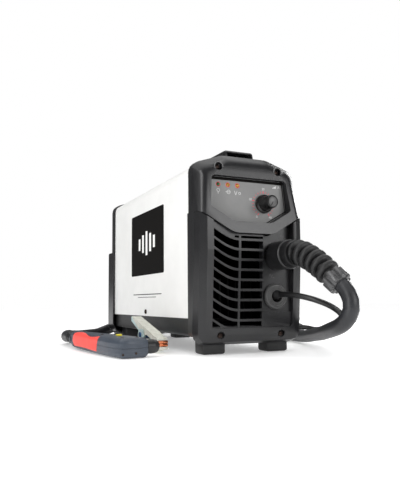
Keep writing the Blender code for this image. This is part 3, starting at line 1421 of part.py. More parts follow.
def coil_route(coil, diameter):
    """A coil's centreline: in on the surface, up a layer in the half turn where it reverses, and out."""
    cx, cy = coil["centre"]
    per_turn = 24
    steps = int(coil["turns"] * per_turn)
    half = coil["turns"] / 2
    low, rise = diameter / 2 + 0.2 * MM, diameter + 0.7 * MM
    points = []
    for k in range(steps + 1):
        turn = k / per_turn
        inwards = half - abs(turn - half)
        radius = (coil["outer"] - coil["pitch"] * inwards) * MM
        climb = min(max(turn - half + 0.25, 0) / 0.5, 1)
        climb = climb * climb * (3 - 2 * climb)
        angle = math.radians(coil["start"]) + 2 * math.pi * turn
        x, y = cx * MM + radius * math.cos(angle), cy * MM + radius * math.sin(angle)
        points.append((x, y, low + rise * climb))
    return points


def report_gap(name, points, radius, per_turn):
    """Prints the least gap that a wound piece leaves to itself."""
    line = np.array(points, float)
    least = math.inf
    for k in range(len(line) - per_turn // 2):
        rest = line[k + per_turn // 2 :]
        least = min(least, float(np.linalg.norm(rest - line[k], axis=1).min()))
    print(f"{name}: least gap to itself {(least - 2 * radius) / MM:.2f} mm")


def lengthened(points):
    """The length of a line of points."""
    return float(np.linalg.norm(np.diff(np.array(points), axis=0), axis=1).sum())


HOSE_OUT = [
    (50.6, -113.5, 70.5),
    (50.4, -118, 60.5),
    (49, -117.5, 50),
    (48.5, -110, 41.5),
    (52, -95, 35.5),
    (61.5, -73, 31.5),
    (77, -42, 27),
    (97, -4, 22),
    (118.5, 39, 17.5),
    (138, 84, 12.5),
    (154, 130, 9.8),
    (168, 175, 9.2),
    (188, 220, 9.2),
    (219, 262, 9.2),
    (256, 298, 9.2),
]
HOSE_BACK = [
    (92, 446, 19),
    (68, 428, 16.5),
    (40, 417, 12.5),
    (8, 413, 12.5),
    (-14, 413, 17),
    (-36, 412, 18.6),
    (-57, 408, 18.6),
    (-76, 397, 14),
    (-94, 382, 9.8),
    (-112, 363, 9.2),
    (-141, 332, 9.5),
    (-162, 302, 11),
    (-170, 275, 13),
]
CABLE_OUT = [
    (36.5, 7, 71.5),
    (38, -10, 71.6),
    (44, -33, 69.5),
    (55, -52, 64),
    (68, -63, 56.5),
    (79, -65, 48.5),
    (87, -57, 42),
    (92, -42, 37),
    (107, -9, 30),
    (128.5, 34, 25.5),
    (147.5, 79, 22.5),
    (154.5, 110, 23.5),
    (152, 142, 22),
    (139, 172, 12),
    (127, 205, 4),
    (116, 245, 3.7),
    (102, 290, 3.7),
    (90, 340, 3.7),
    (85, 385, 3.7),
    (80, 440, 3.7),
]
CABLE_BACK = [
    (-36, 458, 7.5),
    (-42, 438, 4.4),
    (-50, 414, 3.7),
    (-64, 386, 3.7),
    (-79, 350, 3.7),
    (-88, 315, 3.7),
    (-92, 280, 3.7),
    (-94, 245, 4.2),
    (-94.5, 215, 7.5),
]


def lead(name, out, back, coil, diameter, end, aim):
    """A lead in three pieces that meet end to end: out to its coil, the coil, and on to what it feeds."""
    wound = coil_route(coil, diameter)
    first, last = np.array(wound[0]), np.array(wound[-1])
    turn_in = (first - np.array(wound[1])) / np.linalg.norm(first - np.array(wound[1]))
    turn_out = (last - np.array(wound[-2])) / np.linalg.norm(last - np.array(wound[-2]))
    enter = (first + turn_in * GAP) / MM
    leave = (last + turn_out * GAP) / MM
    lead_in = (first + turn_in * 1.5 * diameter) / MM
    lead_out = (last + turn_out * 1.5 * diameter) / MM
    end, aim = np.array(end) / MM, np.array(aim)
    spacing = max(diameter, 11 * MM)
    away = smooth_route([*out, lead_in, enter], spacing)
    home = smooth_route([leave, lead_out, *back, end - aim * diameter / MM, end], 2 * spacing)
    finish = HOSE_RUBBER
    tube(f"{name}_front", away, diameter / 2, finish, 2)
    tube(f"{name}_coil", wound, diameter / 2, finish, 1)
    tube(f"{name}_tail", home, diameter / 2, finish, 2)
    report_gap(f"{name}_coil", wound, diameter / 2, 24)
    total = sum(lengthened(points) for points in (away, wound, home))
    print(f"{name}: {total:.3f} m, {len(away)} and {len(home)} points")


def torch_gland():
    """The collar on the connection plate, the ribbed bend protector and its nut."""
    seat = PLATE_RECESS - GAP
    turned(
        "torch_gland",
        [
            (0, GLAND_LENGTH),
            (GLAND_RADIUS - 4 * MM, GLAND_LENGTH),
            (GLAND_RADIUS - 2 * MM, GLAND_LENGTH - 2 * MM),
            (GLAND_RADIUS - 2 * MM, 32 * MM),
            (GLAND_RADIUS, 30.5 * MM),
            (GLAND_RADIUS, 0),
            (PORT_HOLE - GAP, 0),
            (PORT_HOLE - GAP, -10 * MM),
            (0, -10 * MM),
        ],
        (GLAND_X, seat, GLAND_Z),
        (0, -1, 0),
        BLACK_PLASTIC,
        24,
    )
    turned(
        "protector_nut",
        [
            (0, NUT_LENGTH / 2),
            (NUT_RADIUS - 2 * MM, NUT_LENGTH / 2),
            (NUT_RADIUS, NUT_LENGTH / 2 - 2 * MM),
            (NUT_RADIUS, -NUT_LENGTH / 2 + 1 * MM),
            (NUT_RADIUS - 1 * MM, -NUT_LENGTH / 2),
            (0, -NUT_LENGTH / 2),
        ],
        NUT_CENTRE,
        NUT_AIM,
        BLACK_PLASTIC,
        16,
    )
    start = Vector((GLAND_X, seat - GLAND_LENGTH - GAP, GLAND_Z))
    end = NUT_CENTRE - NUT_AIM * (NUT_LENGTH / 2 + GAP)
    bend = [Vector(point) * MM for point in ((40.3, -55, 116), (42.5, -72, 106.5))]
    route = [start, start + Vector((0, -5 * MM, 0)), *bend, end - NUT_AIM * 7 * MM, end]
    line = smooth_route([point / MM for point in route], 0.5 * MM)
    middle = np.linspace(1, len(line) - 2, 2 * PROTECTOR_RIBS + 3).astype(int)
    along = [0, *middle, len(line) - 1]
    points, radii = [], []
    for k, index in enumerate(along):
        share = k / (len(along) - 1)
        root = (12.5 - 1.5 * share) * MM
        crest = (16 - 1 * share) * MM
        inner = 2 <= k <= len(along) - 3
        radii.append(crest if inner and k % 2 == 0 else root)
        points.append(tuple(line[index]))
    tube("bend_protector", points, radii, RUBBER, 3)


def cable_grommet():
    ring, hole = 16.2 * MM, 7.4 * MM
    seat = PLATE_RECESS
    turned(
        "cable_grommet",
        [
            (hole, 3.5 * MM),
            (hole + 2 * MM, 5.5 * MM),
            (ring - 2 * MM, 5.5 * MM),
            (ring, 3.5 * MM),
            (ring, GAP),
            (PORT_HOLE - GAP, GAP),
            (PORT_HOLE - GAP, -6 * MM),
            (hole, -6 * MM),
            (hole, 3.5 * MM),
        ],
        (GROMMET_X, seat, GROMMET_Z),
        (0, -1, 0),
        BLACK_PLASTIC,
        24,
    )


def leads():
    hose_start = (NUT_CENTRE + NUT_AIM * (NUT_LENGTH / 2 + GAP)) / MM
    out = [tuple(hose_start), tuple(hose_start + NUT_AIM * 4), *HOSE_OUT]
    tail = torch_lift() @ Vector((TORCH_TAIL[0], TORCH_TAIL[1] + TAIL_LENGTH + GAP, TORCH_THICK / 2))
    tail_aim = (0, -math.cos(TORCH_RISE), -math.sin(TORCH_RISE))
    lead("torch_lead", out, HOSE_BACK, HOSE_COIL, HOSE, tail, tail_aim)
    clamp_end = Vector((CLAMP_X, CLAMP_PIVOT[0] + CLAMP_GRIP + GAP, 11.7 * MM))
    lead("work_cable", CABLE_OUT, CABLE_BACK, CABLE_COIL, CABLE, clamp_end, (0, -1, 0))


# Origin


def stand_on_origin():
    """Puts the origin under the middle of the unit, torch and clamp, without the leads."""
    on_leads = ("torch_lead", "work_cable", "bend_protector", "protector_nut")
    bpy.context.view_layer.update()
    graph = bpy.context.evaluated_depsgraph_get()
    low, high = Vector((math.inf,) * 3), Vector((-math.inf,) * 3)
    for made in parts.objects:
        if made.type == "EMPTY" or made.name.startswith(on_leads):
            continue
        evaluated = made.evaluated_get(graph)
        mesh = evaluated.to_mesh()
        for vertex in mesh.vertices:
            place = evaluated.matrix_world @ vertex.co
            low = Vector(map(min, low, place))
            high = Vector(map(max, high, place))
        evaluated.to_mesh_clear()
    middle = (low + high) / 2
    unit_origin.location = (-middle.x, -middle.y, -low.z)


front_frame()
control_bezel()
control_panel()
cover()
base_tray()
feet()
carry_handle()
rear_panel()
rear_switch()
rear_fittings()
fan()
inside()
torch_gland()
cable_grommet()
torch()
clamp()
leads()
stand_on_origin()
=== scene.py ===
"""A portable plasma cutter: the finishes, leads and fine pieces that dress its solid model."""

import math

import bmesh
import bpy
import numpy as np
from mathutils import Matrix, Vector


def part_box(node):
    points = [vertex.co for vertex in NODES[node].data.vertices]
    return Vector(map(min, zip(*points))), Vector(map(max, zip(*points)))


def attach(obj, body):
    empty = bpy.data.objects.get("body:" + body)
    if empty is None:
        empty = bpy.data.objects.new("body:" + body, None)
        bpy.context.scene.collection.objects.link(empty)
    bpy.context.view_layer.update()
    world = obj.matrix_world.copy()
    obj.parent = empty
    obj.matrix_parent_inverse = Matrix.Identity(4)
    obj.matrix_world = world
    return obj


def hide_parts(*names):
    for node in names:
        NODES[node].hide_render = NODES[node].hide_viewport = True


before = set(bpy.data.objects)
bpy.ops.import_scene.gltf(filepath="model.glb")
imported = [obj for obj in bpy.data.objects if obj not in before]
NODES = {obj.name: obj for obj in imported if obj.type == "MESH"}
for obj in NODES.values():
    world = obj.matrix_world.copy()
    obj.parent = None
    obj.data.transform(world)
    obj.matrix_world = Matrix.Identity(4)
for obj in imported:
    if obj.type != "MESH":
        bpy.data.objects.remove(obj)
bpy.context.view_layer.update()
MM = 0.001
GAP = 0.3 * MM

# The unit's own origin: under the middle of its front face, on the floor.
COVER_LOW, COVER_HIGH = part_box("cover")
FEET_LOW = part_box("foot_front_left")[0]
COVER_DEPTH = 23 * MM  # how far behind the front face the cover starts
UNIT = Vector(((COVER_LOW[0] + COVER_HIGH[0]) / 2, COVER_LOW[1] - COVER_DEPTH, FEET_LOW[2]))

# Leads
HOSE = 18 * MM
CABLE = 7 * MM
HOSE_COIL = {"centre": (212, 410), "outer": 118, "start": -45, "turns": 4.5, "pitch": 18.7}
CABLE_COIL = {"centre": (22, 492), "outer": 54, "start": 0, "turns": 7.5, "pitch": 7.5}
NUT_CENTRE = Vector((47.6, -98.5, 85.8)) * MM
NUT_AIM = Vector((0.2, -0.75, -0.63)).normalized()
NUT_LENGTH = 15.5 * MM

shown = bpy.data.collections.new("plasma_cutter_finish")
bpy.context.scene.collection.children.link(shown)


# Colours and nodes


def linear(code):
    """An sRGB hex colour as linear red, green, blue and alpha."""
    channels = [int(code[k : k + 2], 16) / 255 for k in (1, 3, 5)]
    return (*[c / 12.92 if c <= 0.04045 else ((c + 0.055) / 1.055) ** 2.4 for c in channels], 1.0)


def put(tree, kind, settings=None, inputs=None):
    """Adds a node with its properties, and its sockets' values or what is linked to them."""
    made = tree.nodes.new(kind)
    for name, value in (settings or {}).items():
        setattr(made, name, value)
    for name, value in (inputs or {}).items():
        socket = made.inputs[name]
        if isinstance(value, bpy.types.NodeSocket):
            tree.links.new(value, socket)
        else:
            socket.default_value = value
    return made


def start_finish(name, **sockets):
    """A new material with its shader's constant sockets set: returns it, its tree and its shader."""
    made = bpy.data.materials.new(name)
    made.use_nodes = True
    tree = made.node_tree
    tree.nodes.clear()
    named = {k.replace("_", " "): v for k, v in sockets.items()}
    shader = put(tree, "ShaderNodeBsdfPrincipled", inputs=named)
    put(tree, "ShaderNodeOutputMaterial", inputs={"Surface": shader.outputs[0]})
    made.diffuse_color = sockets.get("Base_Color", (0.5, 0.5, 0.5, 1))
    return made, tree, shader


def object_place(tree, scale=(1, 1, 1)):
    """Object coordinates in millimetres, stretched by a scale."""
    coordinates = put(tree, "ShaderNodeTexCoord")
    mapping = {"Vector": coordinates.outputs["Object"], "Scale": tuple(s / MM for s in scale)}
    return put(tree, "ShaderNodeMapping", inputs=mapping).outputs[0]


def mottle(tree, place, size_mm, detail=3.0, roughness=0.6):
    """Noise whose lumps are about this many millimetres across."""
    sockets = {"Vector": place, "Scale": 1 / size_mm, "Detail": detail, "Roughness": roughness}
    return put(tree, "ShaderNodeTexNoise", inputs=sockets).outputs[0]


def between(tree, share, low, high, first=0.3, last=0.7):
    """A colour that runs from low to high as the share goes from first to last."""
    ramp = put(tree, "ShaderNodeValToRGB", inputs={"Fac": share})
    ramp.color_ramp.elements[0].position, ramp.color_ramp.elements[0].color = first, linear(low)
    ramp.color_ramp.elements[1].position, ramp.color_ramp.elements[1].color = last, linear(high)
    return ramp.outputs[0]


def rescaled(tree, share, low, high):
    limits = {"Value": share, "From Min": 0.3, "From Max": 0.7, "To Min": low, "To Max": high}
    return put(tree, "ShaderNodeMapRange", inputs=limits).outputs[0]


def bumped(tree, shader, height, depth_mm, strength=1.0):
    """Gives a shader's normal the relief of a height that runs from 0 to 1."""
    sockets = {"Height": height, "Distance": depth_mm * MM, "Strength": strength}
    normal = put(tree, "ShaderNodeBump", inputs=sockets).outputs[0]
    tree.links.new(normal, shader.inputs["Normal"])


def moulded(name, dark, light, rough, grain_mm, relief_mm, coat=0.0):
    """A moulded plastic or rubber: a spark-eroded grain, a slight cloudiness and uneven gloss."""
    made, tree, shader = start_finish(
        name, Base_Color=linear(dark), IOR=1.5, Coat_Weight=coat, Coat_Roughness=0.4
    )
    place = object_place(tree)
    cloud = mottle(tree, place, 22)
    tree.links.new(between(tree, cloud, dark, light), shader.inputs["Base Color"])
    grain = mottle(tree, place, grain_mm, 2.0)
    tree.links.new(rescaled(tree, grain, rough - 0.05, rough + 0.07), shader.inputs["Roughness"])
    bumped(tree, shader, grain, relief_mm)
    return made


def plated(name, dark, light, rough, stretch=(1, 1, 1), grain_mm=0.8, relief_mm=0.01, metal=1.0):
    """A plated or drawn metal: bright and dull patches, and drawing lines where it is stretched."""
    made, tree, shader = start_finish(name, Base_Color=linear(light), Metallic=metal)
    place = object_place(tree, stretch)
    cloud = mottle(tree, place, 6)
    tree.links.new(between(tree, cloud, dark, light), shader.inputs["Base Color"])
    lines = mottle(tree, place, grain_mm, 4.0)
    tree.links.new(rescaled(tree, lines, rough - 0.08, rough + 0.12), shader.inputs["Roughness"])
    bumped(tree, shader, lines, relief_mm)
    return made


def coated(name, dark, light, rough, peel_mm=1.6, relief_mm=0.02):
    """Polyester powder coat: an even colour with a slight orange peel."""
    made, tree, shader = start_finish(
        name, Base_Color=linear(light), IOR=1.5, Coat_Weight=0.15, Coat_Roughness=0.3
    )
    place = object_place(tree)
    tree.links.new(between(tree, mottle(tree, place, 40), dark, light), shader.inputs["Base Color"])
    peel = mottle(tree, place, peel_mm, 1.0)
    tree.links.new(rescaled(tree, peel, rough - 0.03, rough + 0.05), shader.inputs["Roughness"])
    bumped(tree, shader, peel, relief_mm)
    return made


def printed(name, colour, rough=0.55, gloss=1.4):
    """Screen-printed ink, with the slight unevenness of its mesh."""
    made, tree, shader = start_finish(name, Base_Color=linear(colour), IOR=gloss)
    ink = mottle(tree, object_place(tree), 0.4, 1.0)
    tree.links.new(rescaled(tree, ink, rough - 0.05, rough + 0.1), shader.inputs["Roughness"])
    return made


def lens(name, dark, light):
    """A clear coloured indicator lens over its lit chip."""
    made, tree, shader = start_finish(
        name, Base_Color=linear(light), IOR=1.49, Roughness=0.15, Emission_Strength=0.12
    )
    place = object_place(tree)
    glow = between(tree, mottle(tree, place, 1.5), dark, light)
    tree.links.new(glow, shader.inputs["Base Color"])
    tree.links.new(glow, shader.inputs["Emission Color"])
    return made


def board_finish():
    """A circuit board: black solder mask over copper tracks 2 mm apart, darkened to near black as painted
    shade for the dark inside of the unit.
    """
    mask = {"Base_Color": linear("#060706"), "IOR": 1.3, "Roughness": 0.6}
    made, tree, shader = start_finish("solder_mask_near_black_painted_shade", **mask)
    place = object_place(tree)
    settings = {"Vector": place, "Scale": 0.5, "Color1": linear("#050605"), "Color2": linear("#0a0b0a")}
    settings.update({"Mortar": linear("#101211"), "Mortar Size": 0.06})
    tracks = put(tree, "ShaderNodeTexBrick", inputs=settings)
    tree.links.new(tracks.outputs[0], shader.inputs["Base Color"])
    bumped(tree, shader, tracks.outputs[1], 0.05)
    return made


# Glass-filled nylon with a spark-eroded texture: near black, greyish where light grazes it.
# The texture is 0.8 mm, three times its real size, so that it shows.
BLACK_NYLON = moulded("glass_filled_nylon_spark_eroded", "#141416", "#1a1a1c", 0.32, 0.8, 0.03, coat=0.1)
# ABS for the handle and small fittings: the same black with a finer, slightly shinier grain.
BLACK_ABS = moulded("abs_fine_texture_black", "#151516", "#1b1b1c", 0.36, 0.5, 0.02)
# Polycarbonate overlay film with a velvet face.
PANEL_FILM = moulded("polycarbonate_overlay_velvet_grey", "#757575", "#7c7c7b", 0.5, 0.35, 0.006)
# Plain nylon of the hand nut, polished by its mould.
NUT_NYLON = moulded("nylon_hand_nut_polished", "#474748", "#505051", 0.24, 0.6, 0.01)
# Neoprene feet and boots: black, dusty in patches.
NEOPRENE = moulded("neoprene_moulded_black", "#141415", "#1c1c1d", 0.5, 1.0, 0.04)
# Hose sheath of EPDM rubber: dark grey, half matt.
EPDM_SHEATH = moulded("epdm_hose_sheath", "#1c1d1f", "#25262a", 0.44, 1.2, 0.05)
# Work cable in soft PVC: black and a little shinier.
PVC_SHEATH = moulded("soft_pvc_cable_sheath", "#111112", "#19191a", 0.36, 1.2, 0.03)
# Steel tray and cover in polyester powder coat.
WHITE_COAT = coated("polyester_powder_coat_white", "#ececea", "#f3f3f1", 0.4)
BLACK_COAT = coated("polyester_powder_coat_black", "#141415", "#19191a", 0.5)
# Pressed steel with yellow-tinged zinc plate, and the clear blue zinc of the pivot's ears.
# The plate is half dull, so that it stays pale where nothing bright is mirrored in it.
ZINC_PRESSED = plated("pressed_steel_pale_zinc_plate", "#cfcfc2", "#e6e6dc", 0.4, metal=0.45)
ZINC_BLUE = plated("pressed_steel_blue_zinc_plate", "#a9c3c4", "#cfe2e2", 0.36, metal=0.45)
SPRING_BLUED = plated("spring_wire_blued", "#1d3a62", "#3c679c", 0.3)
SCREW_DARK = plated("screw_steel_dark_plate", "#332b28", "#4e423d", 0.42)
COPPER_WORN = plated("copper_contact_worn", "#c4663c", "#ee9f78", 0.28)
BRASS_TURNED = plated("brass_turned", "#a98745", "#cdb070", 0.3)
BLACK_FINS = moulded("aluminium_fins_black_anodised", "#0b0b0c", "#121213", 0.5, 0.6, 0.01)
ENAMEL_WIRE = plated("enamelled_copper_winding", "#8c3f22", "#b45f35", 0.35, (1, 1, 6))
# Moulded ferrite and phenolic blocks inside the unit.
FERRITE = moulded("sintered_ferrite", "#2a2a2b", "#363637", 0.6, 0.6, 0.02)
# Torch handle of blue-grey nylon, with a soft red elastomer grip.
TORCH_NYLON = moulded("nylon_blue_grey", "#39404a", "#434b56", 0.42, 0.8, 0.04)
SOFT_GRIP = moulded("soft_elastomer_red", "#e8483f", "#f2564c", 0.55, 0.9, 0.06)
TRIGGER_RED = moulded("acetal_trigger_red", "#b8443a", "#c85044", 0.35, 0.5, 0.01)
CATCH_YELLOW = moulded("acetal_catch_yellow", "#dccb12", "#ecdc20", 0.35, 0.5, 0.01)
KNOB_BLACK = moulded("phenolic_knob_black", "#0e0e0e", "#141414", 0.28, 0.6, 0.01)
KNOB_GREY = moulded("knob_cap_grey", "#4a4a4a", "#545454", 0.38, 0.5, 0.01)
GROMMET_GREY = moulded("nylon_grommet_dark_grey", "#3d3d3d", "#4a4a4a", 0.42, 0.6, 0.01)
CERAMIC = moulded("phenolic_shield_cup_black", "#19191a", "#232324", 0.4, 0.7, 0.02)
GREEN_LENS = lens("green_indicator_lens", "#143d22", "#2c6b3f")
AMBER_LENS = lens("amber_indicator_lens", "#7d5a1c", "#c39535")
INK_RED = printed("screen_ink_red", "#e2495a")
INK_WHITE = printed("screen_ink_white", "#f4f4f2")
INK_BLACK = printed("screen_ink_black", "#0b0908", 0.7, 1.2)
INK_GREY = printed("screen_ink_grey", "#d2d2d1")
BOARD_BLACK_SHADED = board_finish()
# Black painted shade on the cover's inner faces, for the dark inside of the unit seen through the grille; it
# is no real sheet.
COVER_INSIDE_SHADE = printed("cover_inside_painted_shade", "#080808", 0.7, 1.2)
TIE_BLACK = moulded("hook_and_loop_tie_black", "#1a1a1b", "#29292a", 0.85, 0.7, 0.15)


# Making pieces


def at(x, y, z):
    """A point of the unit, given in millimetres from its own origin."""
    return UNIT + Vector((x, y, z)) * MM


def smooth_shading(mesh, angle=32):
    mesh.shade_smooth()
    mesh.set_sharp_from_angle(angle=math.radians(angle))


def piece(name, mesh, finish, body="unit", stands_for=()):
    """A mesh that is already in place, as a piece that rides on a body."""
    made = bpy.data.objects.new(name, mesh)
    shown.objects.link(made)
    if not mesh.materials:
        mesh.materials.append(finish)
    if stands_for:
        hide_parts(*stands_for)
    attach(made, body)
    return made


def baked(made):
    """The plain mesh of an object with its modifiers and place, which then goes away."""
    bpy.context.view_layer.update()
    graph = bpy.context.evaluated_depsgraph_get()
    mesh = bpy.data.meshes.new_from_object(made.evaluated_get(graph), depsgraph=graph)
    mesh.transform(made.matrix_world)
    data = made.data
    bpy.data.objects.remove(made)
    if data.users == 0 and isinstance(data, bpy.types.Mesh):
        bpy.data.meshes.remove(data)
    return mesh


def loose(name, mesh):
    """An object that only serves to make a mesh."""
    made = bpy.data.objects.new(name, mesh)
    bpy.context.scene.collection.objects.link(made)
    return made


def softened(made, width, segments=2, angle=28):
    """A bevel on every real edge."""
    bevel = made.modifiers.new("edge", "BEVEL")
    bevel.width = width
    bevel.segments = segments
    bevel.limit_method = "ANGLE"
    bevel.angle_limit = math.radians(angle)
    bevel.use_clamp_overlap = True
    bevel.harden_normals = True
    return made


def refined(node, finish, body="unit", edge=0.4 * MM, angle=28, special=None, shaped=None):
    """A node's shape, perhaps reshaped, with softened edges and perhaps a second finish on some faces."""
    mesh = NODES[node].data.copy()
    if shaped:
        for vertex in mesh.vertices:
            vertex.co = shaped(vertex.co.copy())
    form = bmesh.new()
    form.from_mesh(mesh)
    bmesh.ops.remove_doubles(form, verts=form.verts, dist=0.000005)
    bmesh.ops.dissolve_limit(form, angle_limit=math.radians(0.3), verts=form.verts, edges=form.edges)
    form.to_mesh(mesh)
    form.free()
    mesh.materials.clear()
    smooth_shading(mesh, angle)
    made = softened(loose(node, mesh), edge, angle=angle)
    done = baked(made)
    done.materials.clear()
    done.materials.append(finish)
    if special:
        done.materials.append(special[0])
        for face in done.polygons:
            face.material_index = 1 if special[1](face) else 0
    return piece(f"{node}_finish", done, finish, body, (node,))


def paint(node, finish):
    """A node that keeps its own shape gets a finish."""
    materials = NODES[node].data.materials
    materials.clear()
    materials.append(finish)


def turned(name, profile, place, aim, sides=48, angle=32):
    """The mesh of a profile of (radius, height) in millimetres, turned about a direction from a place."""
    form = bmesh.new()
    rings = []
    for radius, height in profile:
        if radius < 0.001:
            rings.append([form.verts.new((0, 0, height * MM))])
            continue
        turns = [2 * math.pi * k / sides for k in range(sides)]
        wide, high = radius * MM, height * MM
        rings.append([form.verts.new((wide * math.cos(t), wide * math.sin(t), high)) for t in turns])
    for above, below in zip(rings, rings[1:]):
        for k in range(sides):
            n = (k + 1) % sides
            upper = above[k % len(above)], above[n % len(above)]
            lower = below[k % len(below)], below[n % len(below)]
            corners = [upper[0], lower[0], lower[1], upper[1]]
            corners = [v for j, v in enumerate(corners) if v not in corners[:j]]
            if len(corners) > 2:
                form.faces.new(corners)
    for ring in (rings[0], rings[-1]):
        if len(ring) > 1 and profile[0] != profile[-1]:
            form.faces.new(ring)
    bmesh.ops.remove_doubles(form, verts=form.verts, dist=0.000001)
    bmesh.ops.recalc_face_normals(form, faces=form.faces)
    turn = Vector(aim).to_track_quat("Z", "Y").to_matrix().to_4x4()
    bmesh.ops.transform(form, matrix=Matrix.Translation(place) @ turn, verts=form.verts)
    mesh = bpy.data.meshes.new(name)
    form.to_mesh(mesh)
    form.free()
    smooth_shading(mesh, angle)
    return mesh


def frames_along(line):
    """For each point of a line, its direction and two directions across it that don't twist."""
    line = [Vector(p) for p in line]
    tangents = []
    for k in range(len(line)):
        tangents.append((line[min(k + 1, len(line) - 1)] - line[max(k - 1, 0)]).normalized())
    side = tangents[0].orthogonal().normalized()
    if abs(tangents[0].z) < 0.95:
        side = tangents[0].cross(Vector((0, 0, 1))).normalized()
    frames = []
    for tangent in tangents:
        side = (side - tangent * side.dot(tangent)).normalized()
        frames.append((tangent, side, side.cross(tangent)))
    return frames


def swept(name, line, radius_at, sides=24, angle=40):
    """The mesh of a tube along a line, its radius given by the point's number and the angle round it."""
    form = bmesh.new()
    rings = []
    for k, (point, (_, side, up)) in enumerate(zip(line, frames_along(line))):
        ring = []
        for j in range(sides):
            turn = 2 * math.pi * j / sides
            outward = side * math.cos(turn) + up * math.sin(turn)
            ring.append(form.verts.new(Vector(point) + outward * radius_at(k, turn)))
        rings.append(ring)
    for before, after in zip(rings, rings[1:]):
        for j in range(sides):
            n = (j + 1) % sides
            form.faces.new((before[j], before[n], after[n], after[j]))
    form.faces.new(rings[0])
    form.faces.new(rings[-1])
    bmesh.ops.recalc_face_normals(form, faces=form.faces)
    mesh = bpy.data.meshes.new(name)
    form.to_mesh(mesh)
    form.free()
    smooth_shading(mesh, angle)
    return mesh


def slab(name, outline, thick, place):
    """The mesh of an outline in millimetres with a thickness, laid by a matrix."""
    form = bmesh.new()
    low = [form.verts.new((x * MM, y * MM, 0)) for x, y in outline]
    form.faces.new(low)
    made = bmesh.ops.extrude_face_region(form, geom=form.faces[:])
    lifted = [v for v in made["geom"] if isinstance(v, bmesh.types.BMVert)]
    bmesh.ops.translate(form, verts=lifted, vec=(0, 0, thick * MM))
    bmesh.ops.recalc_face_normals(form, faces=form.faces)
    bmesh.ops.transform(form, matrix=place, verts=form.verts)
    mesh = bpy.data.meshes.new(name)
    form.to_mesh(mesh)
    form.free()
    return mesh


def joined(name, meshes):
    """Several meshes as one."""
    form = bmesh.new()
    for mesh in meshes:
        form.from_mesh(mesh)
    made = bpy.data.meshes.new(name)
    form.to_mesh(made)
    form.free()
    return made


def words(name, text, size, place, thick=0.05):
    """Text as a thin mesh, laid by a matrix, its height in millimetres."""
    curve = bpy.data.curves.new(name, "FONT")
    curve.body = text
    curve.size = size * MM
    curve.align_x = "CENTER"
    curve.align_y = "CENTER"
    curve.extrude = thick / 2 * MM
    curve.resolution_u = 4
    mesh = baked(loose(name, curve))
    mesh.transform(place)
    mesh.materials.clear()
    return mesh


def arc_outline(radius, start, end, steps, centre=(0, 0)):
    turns = [math.radians(start + (end - start) * k / steps) for k in range(steps + 1)]
    return [(centre[0] + radius * math.cos(t), centre[1] + radius * math.sin(t)) for t in turns]


def pieces_on_arc():
    """A tree that sets copies of a piece along an arc about Z, each turned outwards."""
    tree = bpy.data.node_groups.new("pieces_on_arc", "GeometryNodeTree")
    sockets = tree.interface
    sockets.new_socket("Geometry", in_out="OUTPUT", socket_type="NodeSocketGeometry")
    kinds = {"Piece": "Object", "Count": "Int", "Radius": "Float", "Start": "Float", "Sweep": "Float"}
    for name, kind in {**kinds, "Finish": "Material"}.items():
        sockets.new_socket(name, in_out="INPUT", socket_type=f"NodeSocket{kind}")
    given = put(tree, "NodeGroupInput").outputs
    points = put(tree, "GeometryNodeMeshLine", inputs={"Count": given["Count"], "Offset": (0, 0, 0)})
    index = put(tree, "GeometryNodeInputIndex").outputs[0]
    spaces = put(tree, "ShaderNodeMath", {"operation": "SUBTRACT"}, {0: given["Count"], 1: 1.0}).outputs[0]
    share = put(tree, "ShaderNodeMath", {"operation": "DIVIDE"}, {0: index, 1: spaces}).outputs[0]
    swing = put(tree, "ShaderNodeMath", {"operation": "MULTIPLY"}, {0: share, 1: given["Sweep"]}).outputs[0]
    angle = put(tree, "ShaderNodeMath", {"operation": "ADD"}, {0: swing, 1: given["Start"]}).outputs[0]
    across = put(tree, "ShaderNodeMath", {"operation": "COSINE"}, {0: angle}).outputs[0]
    up = put(tree, "ShaderNodeMath", {"operation": "SINE"}, {0: angle}).outputs[0]
    aim = put(tree, "ShaderNodeCombineXYZ", inputs={"X": across, "Y": up}).outputs[0]
    reach = {"Vector": aim, "Scale": given["Radius"]}
    reach = put(tree, "ShaderNodeVectorMath", {"operation": "SCALE"}, reach)
    spread = {"Geometry": points.outputs[0], "Position": reach.outputs[0]}
    spread = put(tree, "GeometryNodeSetPosition", inputs=spread)
    turn = put(tree, "ShaderNodeCombineXYZ", inputs={"Z": angle}).outputs[0]
    source = put(tree, "GeometryNodeObjectInfo", inputs={"Object": given["Piece"]})
    placed = {"Points": spread.outputs[0], "Instance": source.outputs["Geometry"], "Rotation": turn}
    copies = put(tree, "GeometryNodeInstanceOnPoints", inputs=placed)
    real = put(tree, "GeometryNodeRealizeInstances", inputs={"Geometry": copies.outputs[0]})
    dressed = {"Geometry": real.outputs[0], "Material": given["Finish"]}
    dressed = put(tree, "GeometryNodeSetMaterial", inputs=dressed)
    put(tree, "NodeGroupOutput", inputs={"Geometry": dressed.outputs[0]})
    return tree


ARC_TREE = pieces_on_arc()


def round_arc(name, mesh, finish, count, radius, start, sweep, place):
    """Copies of a mesh round an arc, as one mesh laid by a matrix, in millimetres and degrees."""
    unit = loose(f"{name}_one", mesh)
    host = loose(name, bpy.data.meshes.new(name))
    nodes = host.modifiers.new("array", "NODES")
    nodes.node_group = ARC_TREE
    values = {
        "Piece": unit,
        "Count": count,
        "Radius": radius * MM,
        "Start": math.radians(start),
        "Sweep": math.radians(sweep),
        "Finish": finish,
    }
    for socket in ARC_TREE.interface.items_tree:
        if socket.in_out == "INPUT":
            nodes[socket.identifier] = values[socket.name]
    made = baked(host)
    bpy.data.objects.remove(unit)
    made.transform(place)
    return made


def middle(node):
    """The middle of a node's box, in millimetres from the unit's origin."""
    low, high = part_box(node)
    return tuple(((low[k] + high[k]) / 2 - UNIT[k]) / MM for k in range(3))


